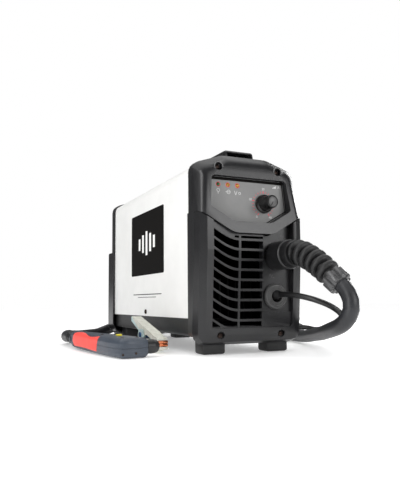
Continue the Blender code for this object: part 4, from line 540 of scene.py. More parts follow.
def facing(place, aim, up=(0, 0, 1)):
    """A matrix that lays a flat thing at a place with its face along a direction."""
    forward = Vector(aim).normalized()
    right = Vector(up).cross(forward).normalized()
    top = forward.cross(right)
    turn = Matrix((right, top, forward)).transposed().to_4x4()
    return Matrix.Translation(place) @ turn


# Camera, light and floor


def camera():
    made = bpy.data.cameras.new("camera")
    made.sensor_fit = "VERTICAL"
    made.sensor_height = 36
    made.lens = 39.31
    made.clip_start, made.clip_end = 0.01, 50
    view = bpy.data.objects.new("camera", made)
    turn = Matrix.Rotation(math.radians(-24.95), 3, "Z") @ Matrix.Rotation(math.radians(95.38), 3, "X")
    view.rotation_euler = (turn @ Matrix.Rotation(math.radians(-0.52), 3, "Z")).to_euler()
    view.location = at(-341, -579, 64)
    bpy.context.scene.collection.objects.link(view)
    bpy.context.scene.camera = view


def panel_light(name, place, target, size, power, colour="#ffffff"):
    made = bpy.data.lights.new(name, "AREA")
    made.shape = "RECTANGLE"
    made.size, made.size_y = size
    made.energy = power
    made.color = linear(colour)[:3]
    lamp = bpy.data.objects.new(name, made)
    lamp.location = place
    lamp.rotation_euler = (Vector(target) - Vector(place)).to_track_quat("-Z", "Y").to_euler()
    bpy.context.scene.collection.objects.link(lamp)


ROOM_LIGHT = 0.24  # how bright the white room is for what it lights, while it shows as pure white
ROOM_GLOSS = 0.12  # and for what mirrors it
OVERHEAD = 1.95


def studio():
    """A white room, a light overhead, one on each side and one in front, and a faintly glowing floor."""
    world = bpy.data.worlds.new("studio")
    world.use_nodes = True
    tree = world.node_tree
    tree.nodes.clear()
    path = put(tree, "ShaderNodeLightPath").outputs
    dim = {"Value": path["Is Glossy Ray"], "To Min": ROOM_LIGHT, "To Max": ROOM_GLOSS}
    lit = put(tree, "ShaderNodeMapRange", inputs=dim).outputs[0]
    glow = {"Value": path["Is Camera Ray"], "To Min": lit, "To Max": 1.0}
    room = {"Color": (1, 1, 1, 1), "Strength": put(tree, "ShaderNodeMapRange", inputs=glow).outputs[0]}
    room = put(tree, "ShaderNodeBackground", inputs=room)
    put(tree, "ShaderNodeOutputWorld", inputs={"Surface": room.outputs[0]})
    bpy.context.scene.world = world
    target = at(0, 120, 110)
    sky = bpy.data.lights.new("overhead", "SUN")
    sky.energy = OVERHEAD
    sky.angle = math.radians(80)
    lamp = bpy.data.objects.new("overhead", sky)
    lamp.rotation_euler = (math.radians(-12), math.radians(-6), 0)
    bpy.context.scene.collection.objects.link(lamp)
    panel_light("left_strip", at(-1050, -430, 420), target, (0.3, 1.3), 8.5)
    panel_light("right_strip", at(1150, 560, 460), target, (0.34, 1.2), 11)
    panel_light("front", at(560, -1100, 560), target, (0.7, 0.5), 6.8)
    bpy.context.scene.view_settings.view_transform = "Standard"
    form = bmesh.new()
    bmesh.ops.create_grid(form, x_segments=8, y_segments=8, size=6)
    mesh = bpy.data.meshes.new("floor")
    form.to_mesh(mesh)
    form.free()
    floor = bpy.data.objects.new("floor", mesh)
    floor.location = (0, 0, UNIT.z - 0.3 * MM)
    bpy.context.scene.collection.objects.link(floor)
    glow = {"Emission_Color": (1, 1, 1, 1), "Emission_Strength": 0.31}
    glow.update({"Base_Color": (0.93, 0.93, 0.93, 1), "Roughness": 0.55})
    mesh.materials.append(start_finish("studio_floor_white", **glow)[0])


# Leads

HOSE_OUT = [
    (50.6, -113.5, 70.5), (50.4, -118, 60.5), (49, -117.5, 50), (48.5, -110, 41.5), (52, -95, 35.5),
    (61.5, -73, 31.5), (77, -42, 27), (97, -4, 22), (118.5, 39, 17.5), (138, 84, 12.5),
    (154, 130, 9.8), (168, 175, 9.2), (188, 220, 9.2), (219, 262, 9.2), (256, 298, 9.2),
]
HOSE_BACK = [
    (92, 446, 19), (68, 428, 16.5), (40, 417, 12.5), (8, 413, 12.5), (-14, 413, 17), (-36, 412, 18.6),
    (-57, 408, 18.6), (-76, 397, 14), (-94, 382, 9.8), (-112, 363, 9.2), (-141, 332, 9.5),
    (-162, 302, 11), (-170, 275, 13),
]
CABLE_OUT = [
    (36.5, 7, 71.5), (38, -10, 71.6), (44, -33, 69.5), (55, -52, 64), (68, -63, 56.5), (79, -65, 48.5),
    (87, -57, 42), (92, -42, 37), (107, -9, 30), (128.5, 34, 25.5), (147.5, 79, 22.5),
    (154.5, 110, 23.5), (152, 142, 22), (139, 172, 12), (127, 205, 4), (116, 245, 3.7),
    (102, 290, 3.7), (90, 340, 3.7), (85, 385, 3.7), (80, 440, 3.7),
]
CABLE_BACK = [
    (-36, 458, 7.5), (-42, 438, 4.4), (-50, 414, 3.7), (-64, 386, 3.7), (-79, 350, 3.7),
    (-88, 315, 3.7), (-92, 280, 3.7), (-94, 245, 4.2), (-94.5, 215, 7.5),
]


def smooth_route(points, spacing):
    """Points, in metres, along a smooth curve through a route whose first and last stretches are straight."""
    knots = np.array(points, float) * MM
    steps = np.sqrt(np.linalg.norm(np.diff(knots, axis=0), axis=1))
    reach = np.concatenate([[0], np.cumsum(steps)])
    slopes = np.zeros_like(knots)
    for k in range(1, len(knots) - 1):
        before, after = reach[k] - reach[k - 1], reach[k + 1] - reach[k]
        rise_before = (knots[k] - knots[k - 1]) / before
        rise_after = (knots[k + 1] - knots[k]) / after
        slopes[k] = (rise_before * after + rise_after * before) / (before + after)
    slopes[:2] = (knots[1] - knots[0]) / (reach[1] - reach[0])
    slopes[-2:] = (knots[-1] - knots[-2]) / (reach[-1] - reach[-2])
    fine = []
    for k in range(1, len(knots) - 2):
        width = reach[k + 1] - reach[k]
        for t in np.linspace(0, 1, 24, endpoint=k == len(knots) - 3):
            a, b = 2 * t**3 - 3 * t**2 + 1, t**3 - 2 * t**2 + t
            c, d = -2 * t**3 + 3 * t**2, t**3 - t**2
            fine.append(a * knots[k] + b * width * slopes[k] + c * knots[k + 1] + d * width * slopes[k + 1])
    fine = np.array(fine)
    along = np.concatenate([[0], np.cumsum(np.linalg.norm(np.diff(fine, axis=0), axis=1))])
    even = np.linspace(0, along[-1], max(int(round(along[-1] / spacing)), 2) + 1)
    middle = np.stack([np.interp(even, along, fine[:, k]) for k in range(3)], axis=1)
    return [Vector(p) for p in np.vstack([knots[:1], middle, knots[-1:]])]


def coil_route(coil, diameter):
    """A coil's centreline: in along the surface, up a layer where it reverses, and out again."""
    cx, cy = coil["centre"]
    per_turn = 48
    steps = int(coil["turns"] * per_turn)
    half = coil["turns"] / 2
    low, rise = diameter / 2 + 0.2 * MM, diameter + 0.7 * MM
    points = []
    for k in range(steps + 1):
        turn = k / per_turn
        inwards = half - abs(turn - half)
        radius = (coil["outer"] - coil["pitch"] * inwards) * MM
        climb = min(max(turn - half + 0.25, 0) / 0.5, 1)
        climb = climb * climb * (3 - 2 * climb)
        angle = math.radians(coil["start"]) + 2 * math.pi * turn
        x, y = cx * MM + radius * math.cos(angle), cy * MM + radius * math.sin(angle)
        points.append(Vector((x, y, low + rise * climb)))
    return points


def lead(name, out, back, coil, diameter, end, aim, finish):
    """A lead as one tube from its exit, through its coil, to what it feeds."""
    wound = coil_route(coil, diameter)
    turn_in = (wound[0] - wound[1]).normalized()
    turn_out = (wound[-1] - wound[-2]).normalized()
    enter = wound[0] + turn_in * 1.5 * diameter
    leave = wound[-1] + turn_out * 1.5 * diameter
    end, aim = Vector(end), Vector(aim)
    spacing = max(diameter / 2, 4 * MM)
    away = smooth_route([*out, tuple(enter / MM), tuple((enter - turn_in * GAP) / MM)], spacing)
    home = [tuple((leave - turn_out * GAP) / MM), tuple(leave / MM), *back]
    home = smooth_route([*home, tuple((end - aim * diameter) / MM), tuple(end / MM)], spacing)
    line = [point + UNIT for point in (*away[:-1], *wound, *home[1:])]
    mesh = swept(name, line, lambda k, turn: diameter / 2 * 0.985, 20)
    nodes = [f"{name}_front", f"{name}_coil", f"{name}_tail"]
    made = piece(f"{name}_sheath", mesh, finish, "unit", nodes)
    measured = sum((b - a).length for a, b in zip(line, line[1:]))
    print(f"{name}: {measured:.3f} m")
    return made


def leads():
    hose_start = (NUT_CENTRE + NUT_AIM * (NUT_LENGTH / 2 + GAP)) / MM
    out = [tuple(hose_start), tuple(hose_start + NUT_AIM * 4), *HOSE_OUT]
    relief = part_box("torch_strain_relief")
    relief_x = (relief[0][0] + relief[1][0]) / 2
    lift = math.tan(TORCH_RISE) * (TORCH_TAIL_Y + TAIL_LENGTH - TORCH_REST_Y)
    tail = (relief_x - UNIT.x, relief[1][1] + GAP - UNIT.y, 11.5 * MM + lift * MM)
    aim = (0, -math.cos(TORCH_RISE), -math.sin(TORCH_RISE))
    root = [gland(), bend_protector(), protector_nut()]
    strap("hose_tie", HOSE_COIL, HOSE, 60, 25 * MM, 1.6 * MM)
    lead("torch_lead", out, HOSE_BACK, HOSE_COIL, HOSE, tail, aim, EPDM_SHEATH)
    clamp_low, clamp_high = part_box("clamp_lower_arm")
    clamp_end = ((clamp_low[0] + clamp_high[0]) / 2 - UNIT.x, clamp_high[1] + GAP - UNIT.y, 11.7 * MM)
    strap("cable_tie", CABLE_COIL, CABLE, 120, 12 * MM, 1.2 * MM)
    lead("work_cable", CABLE_OUT, CABLE_BACK, CABLE_COIL, CABLE, clamp_end, (0, -1, 0), PVC_SHEATH)


TORCH_RISE = math.radians(0.75)
TORCH_TAIL_Y = 196
TORCH_REST_Y = 28
TAIL_LENGTH = 44


def strap(name, coil, diameter, angle, wide, thick):
    """A band round a coil's bundle, at an angle round it."""
    outer = coil["outer"] * MM + diameter / 2
    inner = (coil["outer"] - coil["pitch"] * coil["turns"] / 2) * MM - diameter / 2
    low, high = 0.2 * MM, 2 * diameter + 1.2 * MM
    middle, half = (outer + inner) / 2, (outer - inner) / 2
    bend = 0.45 * diameter
    loops = []
    for grow in (0.3 * MM, 0.3 * MM + thick):
        corners = [
            (half + grow - bend, high + grow - bend, 0),
            (-half - grow + bend, high + grow - bend, 90),
            (-half - grow + bend, max(low - grow, -0.1 * MM) + bend, 180),
            (half + grow - bend, max(low - grow, -0.1 * MM) + bend, 270),
        ]
        loop = []
        for across, up, first in corners:
            loop += arc_outline(bend, first, first + 90, 5, (across, up))
        loops.append(loop)
    form = bmesh.new()
    rows = []
    for along in (-wide / 2, wide / 2):
        rows.append([[form.verts.new((middle + u, along, v)) for u, v in loop] for loop in loops])
    count = len(loops[0])
    for k in range(count):
        n = (k + 1) % count
        (inner_a, outer_a), (inner_b, outer_b) = rows
        form.faces.new((outer_a[k], outer_a[n], outer_b[n], outer_b[k]))
        form.faces.new((inner_a[k], inner_b[k], inner_b[n], inner_a[n]))
        form.faces.new((inner_a[k], inner_a[n], outer_a[n], outer_a[k]))
        form.faces.new((inner_b[k], outer_b[k], outer_b[n], inner_b[n]))
    bmesh.ops.recalc_face_normals(form, faces=form.faces)
    cx, cy = coil["centre"]
    place = Matrix.Translation(at(cx, cy, 0)) @ Matrix.Rotation(math.radians(angle), 4, "Z")
    bmesh.ops.transform(form, matrix=place, verts=form.verts)
    mesh = bpy.data.meshes.new(name)
    form.to_mesh(mesh)
    form.free()
    smooth_shading(mesh)
    return piece(name, mesh, TIE_BLACK)


# Torch connection

PROTECTOR_RIBS = 5
PROTECTOR_ROUTE = [(39.5, -37.1, 120.5), (39.5, -42.1, 120.5), (40.3, -55, 116), (42.5, -72, 106.5)]


def bend_protector():
    """Thick rings joined along their underside, on the bend of the hose's root."""
    end = (NUT_CENTRE - NUT_AIM * (NUT_LENGTH / 2 + GAP)) / MM
    route = [*PROTECTOR_ROUTE, tuple(end - NUT_AIM * 7), tuple(end)]
    fine = [p + UNIT for p in smooth_route(route, 0.25 * MM)]
    along = np.concatenate([[0], np.cumsum([(b - a).length for a, b in zip(fine, fine[1:])])])
    total = along[-1]
    cuff, last = 6 * MM, 4.5 * MM
    pitch = (total - cuff - last) / PROTECTOR_RIBS
    stations = [0, 2.4 * MM, 2.6 * MM, 3.2 * MM, cuff - 0.6 * MM, cuff]
    depths = [4.2, 4.2, 0.6, 0.0, 0.0, 0.7]
    slot_and_ring = ((0.02, 6.0), (0.4, 6.4), (0.44, 1.6), (0.5, 0.4), (0.62, 0.0), (0.86, 0.2), (0.97, 1.2))
    for rib in range(PROTECTOR_RIBS):
        base = cuff + rib * pitch
        for share, depth in slot_and_ring:
            stations.append(base + share * pitch)
            depths.append(depth)
    stations += [total - last + 0.4 * MM, total - last + 1 * MM, total]
    depths += [5.6, 5.8, 5.8]
    points = [Vector([float(np.interp(s, along, [p[k] for p in fine])) for k in range(3)]) for s in stations]

    def radius(k, turn):
        taper = stations[k] / total
        crest = 15.9 - 1.3 * taper
        fused = min(max((math.sin(turn) + 0.85) / 0.35, 0), 1)
        deep = depths[k] if depths[k] < 3 or k > len(stations) - 4 else depths[k] * fused + 0.9 * (1 - fused)
        return (crest - deep) * MM

    mesh = swept("bend_protector", points, radius, 48, 50)
    return piece("bend_protector_rings", mesh, NEOPRENE, "unit", ("bend_protector",))


def protector_nut():
    """A hand nut with eight broad lobes."""
    half = NUT_LENGTH / 2 / MM
    stations = [-half, -half, -half + 0.8, half - 2, half - 0.6, half, half]
    line = [NUT_CENTRE + UNIT + NUT_AIM * s * MM for s in stations]
    line[0] = line[1] - NUT_AIM * 0.02 * MM
    line[-1] = line[-2] + NUT_AIM * 0.02 * MM
    shrink = [4.6, 1.0, 0.0, 0.0, 0.7, 1.6, 4.8]

    def radius(k, turn):
        swing = abs(math.fmod(turn * 8 / (2 * math.pi) + 0.5, 1) - 0.5) * 2
        groove = min(max((0.52 - swing) / 0.2, 0), 1)
        groove = groove * groove * (3 - 2 * groove)
        flat = 0.3 * (1 - min(swing, 1) ** 2)
        deep = 3.2 * groove + flat if 0 < k < len(stations) - 1 else 0
        return (14.4 - shrink[k] - deep) * MM

    mesh = swept("protector_nut", line, radius, 144, 35)
    return piece("protector_hand_nut", mesh, NUT_NYLON, "unit", ("protector_nut",))


def gland():
    """The stepped collar that the torch lead is held in."""
    place, aim = at(39.5, 7.7, 120.5), (0, -1, 0)
    profile = [
        (11.7, -10), (11.7, 0), (17.6, 0), (18.2, 0.6), (18.2, 29.6), (17.4, 30.8), (16.7, 31.2),
        (16.7, 42.6), (16.2, 43.8), (14.4, 44.4), (0, 44.4),
    ]
    made = turned("torch_gland", profile, place, aim, 64)
    return piece("torch_gland_collar", made, BLACK_ABS, "unit", ("torch_gland",))


def grommet():
    """A ringed grommet round the work cable's hole."""
    profile = [
        (7.4, 5.1), (7.9, 5.6), (9.1, 5.6), (9.5, 5.1), (10, 5.1), (10.4, 5.7), (11.6, 5.7), (12, 5.2),
        (12.5, 5.2), (12.9, 5.7), (14.2, 5.5), (15.5, 4.6), (16.1, 3.2), (16.1, 0.3), (11.7, 0.3),
        (11.7, -6), (7.4, -6), (7.4, 5.1),
    ]
    mesh = turned("cable_grommet", profile, at(35.5, 8, 69.5), (0, -1, 0), 64, 25)
    piece("cable_grommet_rings", mesh, GROMMET_GREY, "unit", ("cable_grommet",))
    boot = [(3.7, 0), (5.6, 0), (6.4, 1), (6.2, 6), (4.6, 12), (3.7, 15), (3.7, 0)]
    mesh = turned("cable_boot", boot, at(36.3, 10.5, 71.5), (0.02, -1, 0.02), 32)
    return piece("cable_boot", mesh, NEOPRENE)


# Control panel


def ring_print(name, radius, width, place, thick=0.06, sides=36):
    profile = [(radius, 0), (radius + width, 0), (radius + width, thick), (radius, thick), (radius, 0)]
    return turned(name, profile, place, (0, -1, 0), sides)


def bar(name, long, wide, x, z, slant=0.0, y=12.28):
    """A printed bar on the panel, slanted by an angle in degrees from level."""
    outline = [(-long / 2, -wide / 2), (long / 2, -wide / 2), (long / 2, wide / 2), (-long / 2, wide / 2)]
    place = facing(at(x, y, z), (0, -1, 0)) @ Matrix.Rotation(math.radians(slant), 4, "Z")
    return slab(name, outline, 0.06, place)


def window_edge_shade():
    """Painted shade round the edge of the overlay's window, widest under the window's upper edge, where it is
    a painted shadow.
    """
    outer = [(-26.5, 160.9), (26.5, 160.9), (56.4, 178.1), (52.6, 217.2), (-52.6, 217.2), (-56.4, 178.1)]
    inner = [(-26.2, 162.4), (26.2, 162.4), (55.4, 179.1), (51.5, 213.6), (-50.8, 213.6), (-54.4, 179.1)]
    strips = []
    for k, corner in enumerate(outer):
        after = (k + 1) % len(outer)
        strip = [corner, outer[after], inner[after], inner[k]]
        strips.append(slab("window_shade_strip", strip, 0.05, facing(at(0, 12.28, 0), (0, -1, 0))))
    # The black ink here is painted shade, not print.
    piece("overlay_gasket", joined("overlay_gasket", strips), INK_BLACK)


def plate_marks():
    """Two small plain marks on the connection plate, one by each lead."""
    plate, marks = 7.98, []
    for x, z in ((31.5, 94.5), (49.5, 145)):
        marks.append(bar("mark_stem", 5, 0.8, x, z, 60, plate))
        marks.append(bar("mark_foot", 3.4, 0.8, x + 2.6, z - 1.2, -20, plate))
        marks.append(ring_print("mark_ring", 0.9, 0.7, at(x - 2.2, plate, z + 1.6)))
    piece("plate_marks", joined("plate_marks", marks), GROMMET_GREY)


def panel():
    """The overlay's rings, marks, ticks and figures, and its lamps."""
    film = 12.28
    lamps = (
        (-40.5, "led_power", GREEN_LENS), (-27, "led_alarm", AMBER_LENS), (-13.5, "led_pilot", AMBER_LENS)
    )
    for x, node, finish in lamps:
        dome = [(0, 2.4), (0.9, 2.2), (1.7, 1.6), (2.2, 0.8), (2.4, 0), (2.4, -12.3), (0, -12.3)]
        mesh = turned(f"{node}_lens", dome, at(x, 12.4, 208), (0, -1, 0), 24)
        piece(f"{node}_lens", mesh, finish, "unit", (node,))
    window_edge_shade()
    rings = [ring_print("lamp_ring", 2.5, 0.55, at(x, film, 208)) for x in (-40.5, -27, -13.5)]
    piece("lamp_rings", joined("lamp_rings", rings), INK_RED)
    marks = [
        ring_print("lamp_mark", 1.7, 0.5, at(-40.5, film, 200.6)),
        bar("lamp_stem", 2.4, 0.7, -40.5, 197.4, 90),
        ring_print("heat_mark", 2.1, 0.5, at(-26, film, 199.2)),
        bar("heat_level", 6.4, 0.6, -27, 199.2),
        bar("arc_left", 5.2, 0.6, -16.9, 198.6, 112),
        bar("arc_right", 5.2, 0.6, -14.9, 198.6, 68),
        ring_print("air_mark", 1.2, 0.5, at(-10.4, film, 198.4)),
    ]
    for k, high in enumerate((0.8, 1.4, 2.0, 2.6, 3.2)):
        marks.append(bar(f"ramp_{k}", high, 1.0, 38.4 + 1.15 * k, 208.6 + high / 2, 90))
    marks.append(words("ampere_mark", "A", 5, facing(at(47.4, film, 210.4), (0, -1, 0))))
    for figure in range(5):
        turn = math.radians(240 - 75 * figure)
        spot = at(24 + 19.9 * math.cos(turn), film, 187 + 19.4 * math.sin(turn))
        marks.append(words(f"figure_{figure}", str(10 * figure), 4.3, facing(spot, (0, -1, 0))))
    piece("panel_marks", joined("panel_marks", marks), INK_GREY)
    tick = slab("tick", [(-1.1, -0.3), (1.1, -0.3), (1.1, 0.3), (-1.1, 0.3)], 0.06, Matrix.Identity(4))
    dial = facing(at(24, film, 187), (0, -1, 0))
    fine = round_arc("dial_ticks", tick, INK_RED, 21, 15.4, 240, -300, dial)
    outline = [(-1.6, -0.5), (1.4, -0.5), (1.4, 0.5), (-1.6, 0.5)]
    long_tick = slab("long_tick", outline, 0.08, Matrix.Identity(4))
    broad = round_arc("dial_tens", long_tick, INK_RED, 5, 15.4, 240, -300, dial)
    piece("dial_scale", joined("dial_scale", [fine, broad]), INK_RED)


def knob():
    """A smooth tapered knob on a skirt, with a grey cap whose line points at the scale."""
    place, aim = at(24, 12, 187), (0, -1, 0)
    profile = [
        (2.9, -2.2), (2.9, 0), (11.6, 0), (12, 0.4), (12, 2.6), (11.7, 3.4), (9.6, 4.6), (9.1, 6.2),
        (8.3, 21.2), (7.6, 22.4), (6.3, 22.9), (6.3, 22.5), (0, 22.5),
    ]
    made = turned("current_knob", profile, place, aim, 64)
    piece("current_knob_body", made, KNOB_BLACK, "knob", ("current_knob",))
    disc = [(0, 0.9), (5.2, 0.9), (6.1, 0.4), (6.1, 0), (0, 0)]
    cap = turned("knob_cap", disc, at(24, -10.55, 187), aim, 48)
    piece("knob_cap", cap, KNOB_GREY, "knob")
    turn = math.radians(240)
    place = facing(at(24 + 3.3 * math.cos(turn), -11.47, 187 + 3.3 * math.sin(turn)), aim)
    outline = [(-2.6, -0.45), (2.6, -0.45), (2.6, 0.45), (-2.6, 0.45)]
    line = slab("knob_pointer", outline, 0.08, place @ Matrix.Rotation(turn, 4, "Z"))
    piece("knob_pointer", line, INK_BLACK, "knob")


# Screws


def cross_screw(name, head, high, shank, long):
    """A pan head screw about Z with a cross recess, its head standing on zero."""
    dome = [(0, high), (head * 0.45, high * 0.97), (head * 0.8, high * 0.72), (head, high * 0.3), (head, 0)]
    profile = dome + [(shank, 0), (shank, -long), (0, -long)]
    screw = loose(name, turned(name, profile, Vector(), (0, 0, 1), 32))
    half, wide = head * 0.62, head * 0.14
    arms = [(-half, -wide), (half, -wide), (half, wide), (-half, wide)]
    for k in range(2):
        turn = Matrix.Rotation(math.pi / 2 * k, 4, "Z") @ Matrix.Translation((0, 0, high * 0.35 * MM))
        arm = loose(f"{name}_arm", slab(f"{name}_arm", arms, high, turn))
        recess = screw.modifiers.new("recess", "BOOLEAN")
        recess.operation, recess.solver, recess.object = "DIFFERENCE", "EXACT", arm
    arms_made = [m.object for m in screw.modifiers]
    mesh = baked(screw)
    for arm in arms_made:
        bpy.data.objects.remove(arm)
    smooth_shading(mesh)
    return mesh


def screws():
    """Four in the front mouldings, one on each side of the cover."""
    for level, long in (("lower", 11.6), ("upper", 19.6)):
        one = cross_screw("front_screw", 3.5, 2.6, 2, long)
        x, _, z = middle(f"front_screw_{level}_right")
        head_end = (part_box(f"front_screw_{level}_right")[0][1] - UNIT.y) / MM + 2.8
        place = facing(at(0, head_end, z), (0, -1, 0))
        pair = round_arc(f"front_screws_{level}", one, SCREW_DARK, 2, x, 0, 180, place)
        nodes = [f"front_screw_{level}_{side}" for side in ("left", "right")]
        piece(f"front_screws_{level}", pair, SCREW_DARK, "unit", nodes)
    one = cross_screw("cover_screw", 3.5, 1.8, 2, 7.8)
    for side, sign in (("left", -1), ("right", 1)):
        mesh = one.copy()
        mesh.transform(facing(at(sign * 71.3, 193, 49.7), (sign, 0, 0)))
        piece(f"cover_screw_{side}_head", mesh, SCREW_DARK, "unit", (f"cover_screw_{side}",))


# Cover markings


def cover_marks():
    """A plain black field with a row of white bars on each side, and two thin rules under it."""
    field = [(-71.5, -47.5, 3), (71.5, -47.5, 3), (71.5, 47.5, 3), (-71.5, 47.5, 3)]
    for side, sign in (("left", -1), ("right", 1)):
        face = facing(at(sign * 71.02, 190.5, 151.5), (sign, 0, 0))
        outline = []
        for k, (u, v, radius) in enumerate(field):
            centre = (u - math.copysign(radius, u), v - math.copysign(radius, v))
            outline += arc_outline(radius, 180 + 90 * k, 270 + 90 * k, 5, centre)
        piece(f"side_field_{side}", slab("side_field", outline, 0.08, face), INK_BLACK)
        bars = []
        for k, high in enumerate((18, 27, 36, 27, 18)):
            u = 16 * (k - 2)
            half = high / 2
            outline = [(u - 4, -half), (u + 4, -half), (u + 4, half), (u - 4, half)]
            bars.append(slab("side_bar", outline, 0.1, face))
        piece(f"side_bars_{side}", joined("side_bars", bars), INK_WHITE)
        rules = []
        for z, half, thick in ((74.5, 62, 1.2), (70.5, 40, 0.8)):
            place = facing(at(sign * 71.02, 190.5, z), (sign, 0, 0))
            outline = [(-half, 0), (half, 0), (half, thick), (-half, thick)]
            rules.append(slab("side_rule", outline, 0.08, place))
        piece(f"side_rules_{side}", joined("side_rules", rules), INK_BLACK)


# Rear fittings


def rear_details():
    """The switch's marks, the gland's ribs and the air inlet's hexagon and barbs."""
    middle = 200
    tilt = math.radians(11)
    marks = []
    for z, kind in ((5.0, "on"), (-5.0, "off")):
        lift = 1.0 * math.cos(tilt)
        spot = at(0, 375 + lift + 0.35 - math.tan(tilt) * -z, middle + z)
        if kind == "on":
            outline = [(-0.35, -1.6), (0.35, -1.6), (0.35, 1.6), (-0.35, 1.6)]
            marks.append(slab("on_mark", outline, 0.1, facing(spot, (0, 1, 0))))
        else:
            profile = [(1.1, 0), (1.7, 0), (1.7, 0.1), (1.1, 0.1), (1.1, 0)]
            marks.append(turned("off_mark", profile, spot, (0, 1, 0), 24))
    piece("switch_marks", joined("switch_marks", marks), INK_WHITE, "rocker")
    low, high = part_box("mains_gland")
    place = Vector(((low[0] + high[0]) / 2, UNIT.y + 392 * MM, (low[2] + high[2]) / 2))
    profile = [
        (4.5, -12), (7, -12), (7, 0.3), (11.4, 0.3), (11.4, 7.7), (10, 8.3), (10, 14), (9.6, 15.6),
        (8.6, 19.6), (4.5, 20), (4.5, -12),
    ]
    body = turned("mains_gland", profile, place, (0, 1, 0), 48)
    rib = slab("gland_rib", [(-0.5, -0.7), (0.5, -0.7), (0.5, 0.7), (-0.5, 0.7)], 11, Matrix.Identity(4))
    crown = facing(place + Vector((0, 8 * MM, 0)), (0, 1, 0))
    ribs = round_arc("gland_ribs", rib, BLACK_ABS, 20, 10, 0, 342, crown)
    made = joined("mains_gland_ribbed", [body, ribs])
    smooth_shading(made)
    piece("mains_gland_ribbed", made, BLACK_ABS, "unit", ("mains_gland",))
    low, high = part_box("air_inlet")
    place = Vector(((low[0] + high[0]) / 2, UNIT.y + 392 * MM, (low[2] + high[2]) / 2))
    profile = [(2.8, 24), (4, 24), (5.3, 20.6), (4.2, 19.6), (5.3, 16.4), (4.2, 15.4), (5.3, 12.2)]
    profile += [(4.4, 11), (6.4, 10.2)]
    profile += [(6.4, 9.4), (8.9, 9), (8.9, 0.3), (7, 0.3), (7, -2.8), (2.8, -2.8), (2.8, 24)]
    nipple = turned("air_inlet", profile, place, (0, 1, 0), 48)
    six = arc_outline(9.5, 0, 300, 5)
    hexagon = slab("inlet_hexagon", six, 7.6, facing(place + Vector((0, 0.6 * MM, 0)), (0, 1, 0)))
    made = joined("air_inlet_nipple", [nipple, hexagon])
    smooth_shading(made)
    piece("air_inlet_nipple", made, BRASS_TURNED, "unit", ("air_inlet",))


# Torch and clamp


def torch_lift():
    rest = at(-160, TORCH_REST_Y, 0)
    return Matrix.Translation(rest) @ Matrix.Rotation(TORCH_RISE, 4, "X") @ Matrix.Translation(-rest)


TORCH_BACK = [(-180.5, 196), (-179.8, 165), (-175.5, 110), (-168, 50), (-162, 20)]  # its spine's x at each y
TORCH_ROUND = 6.0  # rounding of its long edges
TORCH_HIGH = 23.0


def on_spine(y, up, proud):
    """A point on the torch's spine, in millimetres: up runs from its sole over the rounded upper edge."""
    ys = [p[1] for p in TORCH_BACK][::-1]
    xs = [p[0] for p in TORCH_BACK][::-1]
    x = float(np.interp(y, ys, xs))
    reach, shoulder = TORCH_ROUND + proud, TORCH_HIGH - TORCH_ROUND
    if up < TORCH_ROUND:
        turn = (TORCH_ROUND - up) / TORCH_ROUND
        return (x + TORCH_ROUND - reach * math.cos(turn), y, TORCH_ROUND - reach * math.sin(turn))
    if up < shoulder:
        return (x - proud, y, up)
    turn = (up - shoulder) / TORCH_ROUND
    return (x + TORCH_ROUND - reach * math.cos(turn), y, shoulder + reach * math.sin(turn))


def catch_lip():
    """The thumb lip of the safety catch, over the edge of the upper shell."""
    lift = torch_lift()
    wedge = [(-152.3, 63.7), (-146.7, 63.7), (-145.3, 72.8), (-151.8, 72.8)]
    lip = slab("catch_lip", wedge, 1.5, lift @ Matrix.Translation(at(0, 0, 23.3)))
    stem = [(-148.2, 66), (-146.4, 66), (-145.4, 72.7), (-147.6, 72.7)]
    web = slab("catch_web", stem, 4.6, lift @ Matrix.Translation(at(0, 0, 19.4)))
    mesh = joined("catch_lip", [lip, web])
    piece("catch_lip", mesh, CATCH_YELLOW, "catch")


def soft_grip():
    """The elastomer grip: wavy along its top, slanted at its front end and proud of the shells."""
    rows, columns = 40, 14
    form = bmesh.new()
    rings = []
    for row in range(rows + 1):
        share = row / rows
        wave = 0.5 + 0.5 * math.cos(2 * math.pi * (share * 1.15 - 0.78))
        top = 20.2 + 4.6 * wave - 5 * max(0, (share - 0.93) / 0.07) ** 2
        low = 3.6 + 1.2 * math.sin(math.pi * share) + 3 * max(0, (share - 0.93) / 0.07) ** 2
        ring = []
        for side, proud in ((range(columns + 1), 0.9), (range(columns, -1, -1), -0.7)):
            for column in side:
                v = column / columns
                edge = 1 - max(abs(2 * v - 1) - 0.86, 0) / 0.14 * 0.6
                start = 86 - 9 * max(v - 0.45, 0) - 1.5 * math.sin(math.pi * v)
                end = 186 - 7 * (2 * v - 1) ** 2
                blunt = min(1, 12 * share, 12 * (1 - share)) ** 0.5 * edge
                y = start + (end - start) * share
                up = low + (top - low) * v
                ring.append(form.verts.new(at(*on_spine(y, up, proud * blunt if proud > 0 else proud))))
        rings.append(ring)
    for before, after in zip(rings, rings[1:]):
        for k in range(len(before)):
            n = (k + 1) % len(before)
            form.faces.new((before[k], before[n], after[n], after[k]))
    form.faces.new(rings[0])
    form.faces.new(rings[-1])
    bmesh.ops.recalc_face_normals(form, faces=form.faces)
    bmesh.ops.transform(form, matrix=torch_lift(), verts=form.verts)
    mesh = bpy.data.meshes.new("torch_grip")
    form.to_mesh(mesh)
    form.free()
    smooth_shading(mesh, 50)
    piece("torch_grip_soft", mesh, SOFT_GRIP, "unit", ("torch_grip",))


